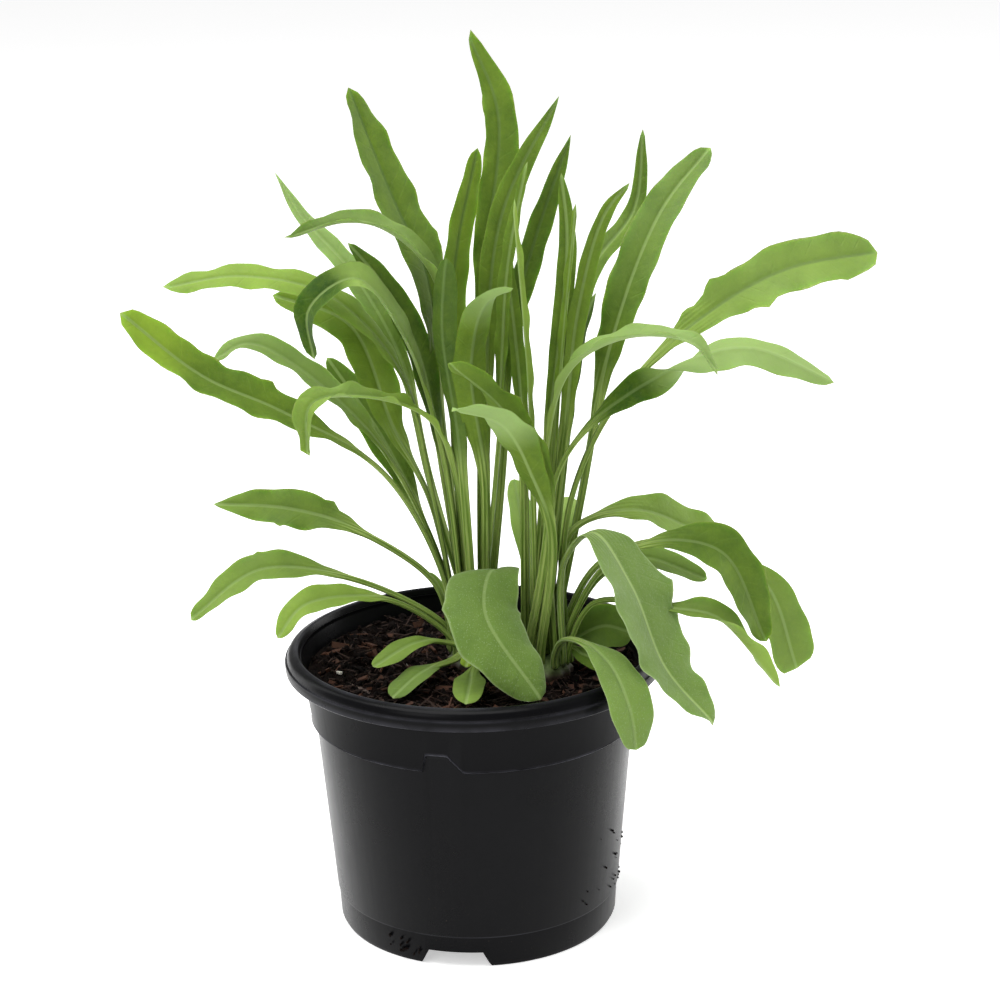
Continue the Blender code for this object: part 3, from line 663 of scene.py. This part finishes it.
def unrolled(ball):
    """A ball's vertices as a leaf's: row from the foot, across from -1 to 1, and 1 beneath.

    Beneath is 0.5 on the two margins, where the upper and lower faces meet.
    """
    row = np.rint(np.arccos(np.clip(-ball[:, 2], -1.0, 1.0)) / math.pi * LEAF_ROWS)
    turn = np.arctan2(ball[:, 1], ball[:, 0]) / math.tau % 1.0
    column = np.rint(turn * LEAF_COLUMNS) % LEAF_COLUMNS
    across = np.where(column <= LEAF_COLUMNS / 2, 1.0 - 4.0 * column / LEAF_COLUMNS,
                      4.0 * column / LEAF_COLUMNS - 3.0)
    beneath = np.where((across > 0.999) | (across < -0.999), 0.5,
                       np.where(column < LEAF_COLUMNS / 2, 0.0, 1.0))
    return row, across, beneath


def along_route(spec, t):
    """Each vertex's run, its place on the midrib and the way the midrib goes there."""
    fine = curve_through(midrib(spec))
    steps = np.linalg.norm(np.diff(fine, axis=0), axis=1)
    run_of = np.concatenate([[0.0], np.cumsum(steps)])
    run = t * run_of[-1]
    centre = np.stack([np.interp(run, run_of, fine[:, axis]) for axis in range(3)], 1)
    back = np.stack([np.interp(run - 2.0, run_of, fine[:, axis]) for axis in range(3)], 1)
    front = np.stack([np.interp(run + 2.0, run_of, fine[:, axis]) for axis in range(3)], 1)
    ahead = front - back
    ahead /= np.linalg.norm(ahead, axis=1, keepdims=True)
    ahead[t <= 0.0] = (0.0, 0.0, 1.0)
    return run, run_of[-1], centre, ahead


def turned_sides(spec, t, blade, ahead):
    """The leaf's left and its upper side at each vertex, rolled and twisted about the midrib."""
    heading = math.radians(spec["heading"])
    level = np.array([-math.sin(heading), math.cos(heading), 0.0])
    side = level - ahead * (ahead @ level)[:, None]
    side /= np.linalg.norm(side, axis=1, keepdims=True)
    twist = spec.get("twist", [(0.0, 0.0), (1.0, 0.0)])
    extra = np.interp(t, [at for at, _ in twist], [degrees for _, degrees in twist])
    roll = np.radians(spec["roll"] * blade + extra)[:, None]
    side = side * np.cos(roll) + np.cross(ahead, side) * np.sin(roll)
    return side, np.cross(ahead, side)


def outline(spec, t, blade, across, run, length, seed):
    """Half the leaf's width at each vertex, with its uneven margin and its teeth."""
    half = half_width(t, spec)
    half = half * (1.0 + 0.05 * blade * ripple(seed + np.sign(across), run, MARGIN_WAVE))
    for at, edge, depth in spec.get("teeth", []):
        tooth = np.clip(1.0 - np.abs(run - at * length) / (TOOTH_SPREAD * depth), 0.0, 1.0)
        half = half + np.where(np.sign(across) == edge, depth * tooth, 0.0)
    return half


def bent_section(spec, blade, across, half, run, seed):
    """How far out and up each vertex lies once the two halves are folded, curled and rippled."""
    fold = math.radians(spec.get("fold", 16.0)) * blade
    curl = math.radians(spec.get("curl", 0.0)) * blade + 1e-6
    out = np.abs(across)
    reach = np.sign(across) * half * (np.sin(fold + curl * out) - np.sin(fold)) / curl
    lift = half * (np.cos(fold) - np.cos(fold + curl * out)) / curl
    wave = spec.get("wave", 0.5) * blade * out ** 2.5
    lift = lift + wave * ripple(2.0 * seed + 1.7 * np.sign(across), run, RIPPLE_LENGTH)
    return reach, lift


def thickness(t, blade, out, half, beneath):
    """Each vertex's height over the middle of the leaf: a round stalk, a flat blade with a keel below."""
    thick = STALK_THICKNESS + (BLADE_THICKNESS - STALK_THICKNESS) * blade
    round_stalk = np.sqrt(np.clip(1.0 - out ** 2, 0.0, 1.0))
    flat_blade = (1.0 - out ** 4) * (1.0 - 0.35 * out)
    body = thick / 2.0 * (round_stalk * (1.0 - blade) + flat_blade * blade)
    keel = np.exp(-((out * half / KEEL_REACH) ** 2))
    body = np.where(beneath > 0.5, -body - 0.35 * keel * blade, body - 0.45 * keel * blade)
    body = np.where(beneath == 0.5, 0.0, body)
    tip = smooth((1.0 - t) / 0.03) * smooth(t / 0.008)
    return body * tip


def run_along(t, spec, lists, single, plain):
    """A value at each vertex: run along the leaf's length, or the same all over."""
    if lists in spec:
        return np.interp(t, *spec[lists])
    return np.full(len(t), spec.get(single, plain))


def build_leaf(name, spec, finish, seed):
    """A closed leaf, drawn out of a ball whose poles become the stalk's foot and the tip."""
    deselect_all()
    bpy.ops.mesh.primitive_uv_sphere_add(segments=LEAF_COLUMNS, ring_count=LEAF_ROWS, radius=1.0)
    obj = made(name + "_blade")
    row, across, beneath = unrolled(coordinates(obj.data))
    share = row / LEAF_ROWS
    t = share + 0.10 * np.sin(math.pi * share) * (1.0 - share)
    t = np.where(row == LEAF_ROWS, 1.0, t)
    blade = smooth((t - spec["blade"]) / 0.25)
    out = np.abs(across)

    run, length, centre, ahead = along_route(spec, t)
    side, upper = turned_sides(spec, t, blade, ahead)
    half = outline(spec, t, blade, across, run, length, seed)
    reach, lift = bent_section(spec, blade, across, half, run, seed)
    lift = lift + thickness(t, blade, out, half, beneath)
    points = centre + side * (reach * (t > 0))[:, None] + upper * lift[:, None]
    place_vertices(obj.data, points)

    keep_values(obj.data, "lie", np.stack([run, across * half, beneath], 1))
    shade = run_along(t, spec, "shades", "shade", 0.5)
    keep_values(obj.data, "make", np.stack([shade, blade, out], 1))
    rib = np.full(len(t), spec.get("rib", 0.6))
    pale = np.full(len(t), spec.get("pale", 0.45))
    bloom = run_along(t, spec, "bloom", "downy", 0.08)
    keep_values(obj.data, "face", np.stack([rib, pale, bloom], 1))
    mesh = bmesh.new()
    mesh.from_mesh(obj.data)
    bmesh.ops.recalc_face_normals(mesh, faces=mesh.faces)
    mesh.to_mesh(obj.data)
    mesh.free()
    return finished(obj, finish, "leaf", name, angle=80.0)


# Pot

def wall_radius(height):
    """Outer radius of the pot's tapering wall, between the foot band and the shoulder."""
    top = RIM_RADIUS - RIM_WIDTH - 2.5 * COLLAR_STEP
    bottom = FOOT_RADIUS + 0.8
    return bottom + (top - bottom) * (height - FOOT_BAND) / (SHOULDER - FOOT_BAND)


def turned(name, profile, steps=POT_STEPS):
    """A turned solid: a filled ring, drawn from one profile point to the next, then closed."""
    deselect_all()
    radius, height = profile[0]
    bpy.ops.mesh.primitive_circle_add(vertices=steps, radius=radius, location=(0, 0, height),
                                      fill_type="NGON")
    obj = made(name)
    bpy.ops.object.mode_set(mode="EDIT")
    bpy.ops.mesh.select_mode(type="EDGE")
    bpy.ops.mesh.select_all(action="SELECT")
    for (before, low), (after, high) in zip(profile, profile[1:]):
        bpy.ops.mesh.extrude_edges_move(TRANSFORM_OT_translate={"value": (0, 0, high - low)})
        ratio = after / before
        bpy.ops.transform.resize(value=(ratio, ratio, 1.0), center_override=(0, 0, high))
    bpy.ops.mesh.edge_face_add()
    bpy.ops.mesh.select_all(action="SELECT")
    bpy.ops.mesh.normals_make_consistent(inside=False)
    bpy.ops.object.mode_set(mode="OBJECT")
    bpy.ops.object.transform_apply(location=True, rotation=True, scale=True)
    return obj


def pot_profile():
    """(radius, height) points: from the floor up the inside, over the rim and down to the foot."""
    under_rim = POT_HEIGHT - RIM_DEPTH
    inside = wall_radius(SHOULDER) - WALL
    collar = RIM_RADIUS - RIM_WIDTH
    body_top = wall_radius(SHOULDER)
    floor_top = FLOOR_LIFT + WALL
    foot_inside = FOOT_RADIUS - 2.0 * WALL
    corner = wall_radius(floor_top) - WALL
    return [
        (20.0, floor_top),
        (corner - 1.5, floor_top),
        (corner, floor_top + 1.5),
        (inside - 0.2, SHOULDER - 1.0),
        (inside + 0.2, SHOULDER),
        (inside + COLLAR_STEP, SHOULDER + 2.0 * COLLAR_STEP),
        (collar - WALL, under_rim),
        (collar + 0.7, POT_HEIGHT - 2.6),
        (collar + 1.1, POT_HEIGHT - 0.7),
        (collar + 1.5, POT_HEIGHT - 0.15),
        (collar + 2.1, POT_HEIGHT),
        (RIM_RADIUS - 2.6, POT_HEIGHT - 0.5),
        (RIM_RADIUS - 1.7, POT_HEIGHT - 1.0),
        (RIM_RADIUS - 1.3, POT_HEIGHT - 1.5),
        (RIM_RADIUS - 0.7, POT_HEIGHT - 2.9),
        (RIM_RADIUS - 0.7, POT_HEIGHT - 3.4),
        (RIM_RADIUS - 0.1, POT_HEIGHT - 3.6),
        (RIM_RADIUS, POT_HEIGHT - 4.2),
        (RIM_RADIUS, POT_HEIGHT - 4.9),
        (RIM_RADIUS - 0.2, under_rim + 0.3),
        (RIM_RADIUS - 0.5, under_rim),
        (RIM_RADIUS - WALL, under_rim),
        (RIM_RADIUS - 1.2 * WALL, POT_HEIGHT - 2.0 * WALL),
        (collar + 0.4, POT_HEIGHT - 2.0 * WALL),
        (collar, under_rim),
        (body_top + COLLAR_STEP - 0.1, SHOULDER + 1.1),
        (body_top + COLLAR_STEP + 0.1, SHOULDER + 0.45),
        (body_top + COLLAR_STEP - 0.4, SHOULDER),
        (body_top + 0.05, SHOULDER - 0.1),
        (body_top - 0.1, SHOULDER - 0.7),
        (wall_radius(FOOT_BAND + 1.7), FOOT_BAND + 1.7),
        (wall_radius(FOOT_BAND) - 0.15, FOOT_BAND + 1.2),
        (wall_radius(FOOT_BAND) - 0.25, FOOT_BAND + 0.9),
        (FOOT_RADIUS, 1.5),
        (FOOT_RADIUS - 0.8, 0.0),
        (foot_inside, 0.0),
        (foot_inside, FLOOR_LIFT),
        (BOSS_RADIUS + 2.0, FLOOR_LIFT),
        (BOSS_RADIUS, 0.0),
    ]


def cut_away(obj, tool):
    """Cut the tool's shape out of the piece and throw the tool away."""
    deselect_all()
    obj.select_set(True)
    bpy.context.view_layer.objects.active = obj
    boolean = obj.modifiers.new("cut", "BOOLEAN")
    boolean.operation = "DIFFERENCE"
    boolean.solver = "EXACT"
    boolean.object = tool
    bpy.ops.object.modifier_apply(modifier=boolean.name)
    bpy.data.objects.remove(tool, do_unlink=True)


def notch_tool(azimuth):
    """A wedge across the foot ring, narrower at its top, with half of it below the floor."""
    wide = NOTCH_WIDTH + 5.5
    deselect_all()
    bpy.ops.mesh.primitive_cube_add(size=1.0, location=(FOOT_RADIUS, 0, 0))
    tool = made("notch_tool")
    bpy.ops.object.mode_set(mode="EDIT")
    bpy.ops.mesh.select_all(action="SELECT")
    bpy.ops.transform.resize(value=(12.0, wide, 2.0 * NOTCH_HEIGHT),
                             center_override=(FOOT_RADIUS, 0, 0))
    bpy.ops.object.mode_set(mode="OBJECT")
    for vert in tool.data.vertices:
        if vert.co.z > 0.0:
            vert.co.y *= NOTCH_TOP_WIDTH / wide
    tool.data.transform(Matrix.Translation((FOOT_RADIUS, 0, 0)))
    tool.location = (0, 0, 0)
    tool.data.transform(Matrix.Rotation(math.radians(azimuth), 4, "Z"))
    return tool


def drain_tool(azimuth):
    """A round hole through the floor, between the boss and the foot ring."""
    deselect_all()
    reach = FOOT_RADIUS - 9.0
    angle = math.radians(azimuth)
    place = (reach * math.cos(angle), reach * math.sin(angle), FLOOR_LIFT)
    bpy.ops.mesh.primitive_cylinder_add(vertices=32, radius=4.0, depth=12.0, location=place)
    return made("drain_tool")


def lug_rise(points):
    """How far the collar's edge is stepped up at each point's azimuth."""
    azimuth = np.degrees(np.arctan2(points[:, 1], points[:, 0]))
    rise = np.zeros(len(points))
    for lug in range(LUGS):
        off = (azimuth - (FRONT_NOTCH + 360.0 / LUGS * lug) + 180.0) % 360.0 - 180.0
        left = np.clip((off + 8.5) / 1.3, 0.0, 1.0)
        right = np.clip((5.5 - off) / 5.5, 0.0, 1.0)
        rise += LUG_RISE * np.minimum(left, right)
    return rise


def mark_edge_highlights(obj):
    """Give the plastic's sharp edges the value by which its material paints highlight lines on them."""
    points = coordinates(obj.data)
    radius = np.hypot(points[:, 0], points[:, 1])
    height = points[:, 2]
    ledge = height - lug_rise(points)
    # The painted highlight lines: the collar's lower edge, the foot of the rim's skirt, a step round the
    # rim's face, its inner lip and the top of the foot band.
    edge_highlight = np.zeros(len(points))
    edge_highlight[(np.abs(ledge - SHOULDER - 0.2) < 0.4) & (radius > wall_radius(SHOULDER) + 0.6)] = 0.8
    edge_highlight[(np.abs(height - (POT_HEIGHT - RIM_DEPTH)) < 0.35) & (radius > RIM_RADIUS - 0.6)] = 0.5
    edge_highlight[(np.abs(height - (POT_HEIGHT - 3.5)) < 0.25) & (radius > RIM_RADIUS - 1.2)] = 0.35
    edge_highlight[(height > POT_HEIGHT - 0.3) & (radius < RIM_RADIUS - RIM_WIDTH + 2.3)] = 0.5
    edge_highlight[np.abs(height - FOOT_BAND - 1.2) < 0.1] = 0.35
    keep_values(obj.data, "edge_highlight", np.stack([edge_highlight, edge_highlight, edge_highlight], 1))


def build_pot(finish):
    """The pot: turned, its collar's edge stepped up at the lugs, its foot notched and its floor drained."""
    obj = turned("pot_shell", pot_profile())
    points = coordinates(obj.data)
    radius = np.hypot(points[:, 0], points[:, 1])
    ledge = (np.abs(points[:, 2] - SHOULDER) < 1.3) & (radius > wall_radius(SHOULDER) - 0.5)
    rise = np.where(ledge, lug_rise(points), 0.0)
    points[:, :2] *= (1.0 + 0.13 * rise / radius)[:, None]
    points[:, 2] += rise
    place_vertices(obj.data, points)
    for count in range(NOTCHES):
        cut_away(obj, notch_tool(FRONT_NOTCH + 360.0 / NOTCHES * count))
    for count in range(DRAINS):
        cut_away(obj, drain_tool(FRONT_NOTCH + 360.0 / DRAINS * count))
    mark_edge_highlights(obj)
    return finished(obj, finish, "pot", "pot", angle=35.0)


# Soil

def soil_level(x, y):
    """Height of the peat: lumps and crumbs, level at the wall and calmer under the low leaves."""
    place = Vector((x, y, 0.0))
    lumps = noise.fractal(place * 0.11, 1.0, 2.0, 3)
    crumbs = noise.turbulence(place * 0.35, 4, False) - 0.9
    away = math.hypot(x, y)
    inside = min(max((WALL_STARTS - away) / 4.0, 0.0), 1.0)
    heaped = HEAP_RISE * min(max((away - HEAP_STARTS) / HEAP_WIDTH, 0.0), 1.0)
    middle_x, middle_y = CALM_CENTRE
    from_middle = math.hypot(x - middle_x, y - middle_y)
    rough = min(max(from_middle - CALM_RADIUS, 0.0) / 8.0, 1.0)
    broken = (0.5 + 0.5 * rough) * (1.2 * lumps + 1.8 * crumbs)
    return SOIL_TOP - 0.6 + inside * (broken + heaped * rough)


def collar_inside(height):
    """The collar's inner wall, from above the shoulder to the rim."""
    low = SHOULDER + 2.0 * COLLAR_STEP
    mouth = wall_radius(SHOULDER) - WALL + COLLAR_STEP
    top = RIM_RADIUS - RIM_WIDTH - WALL
    return mouth + (top - mouth) * (height - low) / (POT_HEIGHT - RIM_DEPTH - low)


def build_soil(finish):
    """The peat: a turned plug that follows the pot's wall, its top broken up into lumps and crumbs."""
    floor = FLOOR_LIFT + WALL + GAP
    bend = SHOULDER + 2.0 * COLLAR_STEP
    edge = collar_inside(SOIL_TOP) - GAP
    profile = [(edge * (ring + 0.4) / PLUG_RINGS, SOIL_TOP) for ring in range(PLUG_RINGS)]
    profile += [
        (edge, SOIL_TOP - 0.8),
        (collar_inside(bend) - GAP, bend),
        (wall_radius(SHOULDER) - WALL - GAP, SHOULDER),
        (wall_radius(floor) - WALL - 2.0 * GAP, floor),
        (20.0, floor),
    ]
    obj = turned("peat_plug", profile, PLUG_STEPS)
    points = coordinates(obj.data)
    top = points[:, 2] > SOIL_TOP - 0.1
    points[top, 2] = [soil_level(x, y) for x, y, _ in points[top]]
    place_vertices(obj.data, points)
    return finished(obj, finish, "soil", "soil", angle=60.0)


def strewn(name, source, places, finish, slot):
    """Many copies of one small shape as one piece: each place is (position, turn, size)."""
    whole = bmesh.new()
    for position, turn, size in places:
        copy = source.copy()
        sized = turn.to_matrix().to_4x4() @ Matrix.Diagonal((*size, 1.0))
        copy.transform(Matrix.Translation(position) @ sized)
        whole.from_mesh(copy)
        bpy.data.meshes.remove(copy)
    mesh = bpy.data.meshes.new(name)
    whole.to_mesh(mesh)
    whole.free()
    obj = bpy.data.objects.new(name, mesh)
    bpy.context.collection.objects.link(obj)
    return finished(obj, finish, slot, angle=50.0)


def small_shape(name, add_primitive, chance, rough, **sizes):
    """A primitive made uneven, kept as a mesh to copy."""
    deselect_all()
    add_primitive(**sizes)
    obj = made(name)
    for vert in obj.data.vertices:
        vert.co *= 1.0 + chance.uniform(-rough, rough)
    mesh = obj.data
    bpy.data.objects.remove(obj, do_unlink=True)
    return mesh


def fibre_shape(name, chance):
    """A thin bent fibre along X, one long."""
    deselect_all()
    bpy.ops.mesh.primitive_cylinder_add(vertices=4, radius=0.5, depth=1.0, rotation=(0, math.pi / 2, 0))
    obj = made(name)
    bpy.ops.object.transform_apply(location=False, rotation=True, scale=False)
    bpy.ops.object.mode_set(mode="EDIT")
    bpy.ops.mesh.select_all(action="SELECT")
    bpy.ops.mesh.subdivide(number_cuts=3)
    bpy.ops.object.mode_set(mode="OBJECT")
    for vert in obj.data.vertices:
        bend = 0.12 * math.sin(3.0 * vert.co.x + chance.uniform(0.0, 0.4))
        taper = 1.0 - 1.2 * abs(vert.co.x)
        vert.co = (vert.co.x, vert.co.y * taper, vert.co.z * taper + bend)
    mesh = obj.data
    bpy.data.objects.remove(obj, do_unlink=True)
    return mesh


def on_soil(chance, outer):
    """A random spot on the peat, away from the crowns."""
    while True:
        radius = outer * math.sqrt(chance.uniform(0.0, 1.0))
        angle = chance.uniform(0.0, math.tau)
        x, y = radius * math.cos(angle), radius * math.sin(angle)
        if min(math.hypot(x - cx, y - cy) for cx, cy in CROWNS.values()) > CROWN_RADIUS - 2.0:
            return x, y


def tumbled(chance, lean):
    """A random turn: any way about the upright and its own length, tipped by up to lean radians."""
    return (Matrix.Rotation(chance.uniform(0.0, math.tau), 3, "Z")
            @ Matrix.Rotation(chance.uniform(-lean, lean), 3, "Y")
            @ Matrix.Rotation(chance.uniform(0.0, math.tau), 3, "X")).to_quaternion()


def above_soil(x, y, rise):
    return Vector((x, y, soil_level(x, y) + rise))


def spun(degrees):
    """A turn about the upright."""
    return Matrix.Rotation(math.radians(degrees), 3, "Z").to_quaternion()


def build_soil_litter(peat, fibre, bark, twig, grain):
    """What lies in the peat: crumbs, lumps, fibres, flakes of bark, a twig and a few pale grains."""
    chance = random.Random(LITTER_SEED)
    crumb = small_shape("crumb", bpy.ops.mesh.primitive_ico_sphere_add, chance, 0.28,
                        subdivisions=1, radius=0.5)
    places = []
    for _ in range(CRUMBS):
        x, y = on_soil(chance, outer=56.0)
        size = 0.8 + 3.4 * chance.random() ** 3
        places.append((above_soil(x, y, 0.25 * size), tumbled(chance, 1.5),
                       (size, size * chance.uniform(0.5, 1.0), size * chance.uniform(0.4, 0.8))))
    strewn("peat_crumbs", crumb, places, peat, "soil")

    strand = fibre_shape("strand", chance)
    places = []
    for _ in range(FIBRES):
        x, y = on_soil(chance, outer=53.0)
        long = 2.5 + 9.0 * chance.random() ** 2
        thick = chance.uniform(0.3, 1.0)
        places.append((above_soil(x, y, 0.9), tumbled(chance, 0.35), (long, thick, 0.7 * thick)))
    strewn("peat_fibres", strand, places, fibre, "soil")

    flake = small_shape("flake", bpy.ops.mesh.primitive_cube_add, chance, 0.22, size=1.0)
    places = []
    for _ in range(FLAKES):
        x, y = on_soil(chance, outer=52.0)
        long = chance.uniform(1.8, 7.0)
        places.append((above_soil(x, y, 0.9), tumbled(chance, 0.45),
                       (long, chance.uniform(0.7, 2.2), chance.uniform(0.3, 0.9))))
    strewn("bark_flakes", flake, places, bark, "soil")

    lying = (above_soil(*TWIG_PLACE, 1.6), spun(TWIG_TURN), TWIG_SIZE)
    strewn("dry_twig", strand, [lying], twig, "soil")
    pale = [((-27.0, 13.0), 70.0, 3.4), ((-23.5, 5.0), 20.0, 1.6), ((-46.0, -8.0), 140.0, 1.8),
            ((31.0, -40.0), 60.0, 1.5), ((18.0, 37.0), 10.0, 2.0)]
    places = [(above_soil(x, y, 1.2), spun(turn), (long, 0.9, 0.7)) for (x, y), turn, long in pale]
    strewn("pale_grains", flake, places, grain, "soil")
    crumbs_on_pot(crumb, peat, chance)


def crumbs_on_pot(crumb, peat, chance):
    """Specks of peat that stick to the pot's wall, low on its right and at its foot."""
    places = []
    for _ in range(WALL_SPECKS):
        azimuth = math.radians(354.0 - 40.0 * chance.random() ** 2)
        height = 12.0 + 28.0 * chance.random() ** 1.6
        size = 0.4 + 0.8 * chance.random() ** 2
        radius = wall_radius(height) + 0.2 * size
        place = Vector((radius * math.cos(azimuth), radius * math.sin(azimuth), height))
        places.append((place, tumbled(chance, 1.5), (size, size * 0.8, size * 0.6)))
    for _ in range(FOOT_SPECKS):
        azimuth = math.radians(chance.uniform(232.0, 247.0))
        size = chance.uniform(0.6, 1.8)
        radius = FOOT_RADIUS + 0.5 + 0.2 * size
        height = chance.uniform(3.0, 8.0)
        place = Vector((radius * math.cos(azimuth), radius * math.sin(azimuth), height))
        places.append((place, tumbled(chance, 1.5), (size, size * 0.8, size * 0.6)))
    strewn("crumbs_on_pot", crumb, places, peat, "soil")


# Crowns

def build_crown(name, finish):
    """A clump of leaf bases: a low turned mound, fluted where the stalks rise."""
    x, y = CROWNS[name]
    low = CROWN_TOP - CROWN_HEIGHT - 2.0
    profile = [
        (0.6, CROWN_TOP + 1.4),
        (3.0, CROWN_TOP + 1.3),
        (6.0, CROWN_TOP + 0.9),
        (8.5, CROWN_TOP + 0.3),
        (CROWN_RADIUS - 1.2, CROWN_TOP - 0.5),
        (CROWN_RADIUS - 0.4, CROWN_TOP - 1.3),
        (CROWN_RADIUS, CROWN_TOP - CROWN_HEIGHT),
        (CROWN_RADIUS - 0.2, low),
        (3.0, low),
    ]
    obj = turned("crown_clump_" + name, profile, 96)
    points = coordinates(obj.data)
    azimuth = np.arctan2(points[:, 1], points[:, 0])
    radius = np.hypot(points[:, 0], points[:, 1])
    flute = 1.0 - 0.10 * np.abs(np.sin(azimuth * 7.0)) * smooth((radius - 5.0) / 6.0)
    points[:, 0] = points[:, 0] * flute + x
    points[:, 1] = points[:, 1] * flute + y
    place_vertices(obj.data, points)
    return finished(obj, finish, "crown", "crown_" + name, angle=60.0)


# Studio

def build_floor():
    """A wide white floor, hung from none of the model's bodies."""
    deselect_all()
    bpy.ops.mesh.primitive_plane_add(size=FLOOR_SIZE, location=(0, 0, 0))
    obj = made("studio_floor")
    finish, tree, shader = new_material("studio_white")
    tint = use_group(tree, MOTTLE, {"Place": place_of(tree), "Size": 3.0, "First": (0.86, 0.86, 0.86, 1.0),
                                    "Second": (0.88, 0.88, 0.88, 1.0), "Contrast": 1.0})
    fill(tree, shader, {"Base Color": tint["Colour"], "Roughness": 0.9,
                        "Emission Color": (1.0, 1.0, 1.0, 1.0), "Emission Strength": 0.5})
    obj.data.materials.append(finish)


def area_light(name, place, width, height, power):
    """A softbox turned to the plant's middle."""
    lamp = bpy.data.lights.new(name, "AREA")
    lamp.shape = "RECTANGLE"
    lamp.size = width
    lamp.size_y = height
    lamp.energy = power
    obj = bpy.data.objects.new(name, lamp)
    obj.location = place
    obj.rotation_euler = (Vector(MIDDLE) - Vector(place)).to_track_quat("-Z", "Y").to_euler()
    bpy.context.collection.objects.link(obj)


def build_light():
    world = bpy.data.worlds.new("studio")
    world.use_nodes = True
    background = world.node_tree.nodes["Background"]
    background.inputs["Color"].default_value = (1.0, 1.0, 1.0, 1.0)
    background.inputs["Strength"].default_value = WORLD_STRENGTH
    bpy.context.scene.world = world
    for name, place, width, height, power in SOFTBOXES:
        area_light(name, place, width, height, power)
    bpy.context.scene.view_settings.view_transform = "Standard"


def build_camera():
    """Straight in front of the plant's middle, tilted down to it and leaning a little."""
    tilt = math.radians(CAMERA_TILT)
    lean = math.radians(CAMERA_LEAN)
    back = Vector((0.0, -math.cos(tilt), math.sin(tilt)))
    right = Vector((1.0, 0.0, 0.0))
    up = back.cross(right)
    turned_right = right * math.cos(lean) + up * math.sin(lean)
    turned_up = up * math.cos(lean) - right * math.sin(lean)
    lens = bpy.data.cameras.new("camera")
    lens.sensor_width = SENSOR_WIDTH
    lens.lens = CAMERA_LENS
    obj = bpy.data.objects.new("camera", lens)
    turn = Matrix((turned_right, turned_up, back)).transposed()
    place = Vector(CAMERA_TARGET) + back * CAMERA_DISTANCE
    obj.matrix_world = Matrix.Translation(place) @ turn.to_4x4()
    bpy.context.collection.objects.link(obj)
    bpy.context.scene.camera = obj


MOTTLE = mottle_group()
VEINS = veins_group()


def main():
    build_camera()
    build_light()
    build_floor()
    build_pot(pot_material())
    peat = peat_material()
    build_soil(peat)
    fibre = fibre_material("peat_fibre", (0.008, 0.004, 0.003, 1.0), (0.045, 0.023, 0.016, 1.0))
    bark = fibre_material("bark", (0.03, 0.012, 0.007, 1.0), (0.085, 0.034, 0.018, 1.0))
    twig = fibre_material("twig", (0.07, 0.05, 0.04, 1.0), (0.16, 0.12, 0.10, 1.0))
    grain = fibre_material("grain", (0.6, 0.57, 0.5, 1.0), (0.75, 0.72, 0.66, 1.0))
    build_soil_litter(peat, fibre, bark, twig, grain)
    crown = crown_material()
    for name in CROWNS:
        build_crown(name, crown)
    fresh = leaf_material("leaf_fresh", DEEP_GREEN, LIGHT_GREEN, UNDER_GREEN, 0.05)
    downy = leaf_material("leaf_downy", DOWNY_DEEP, DOWNY_LIGHT, UNDER_GREEN, 0.3)
    for seed, (name, spec) in enumerate(LEAVES.items()):
        build_leaf(name, spec, downy if spec.get("hairy") else fresh, 1.3 * seed)


main()
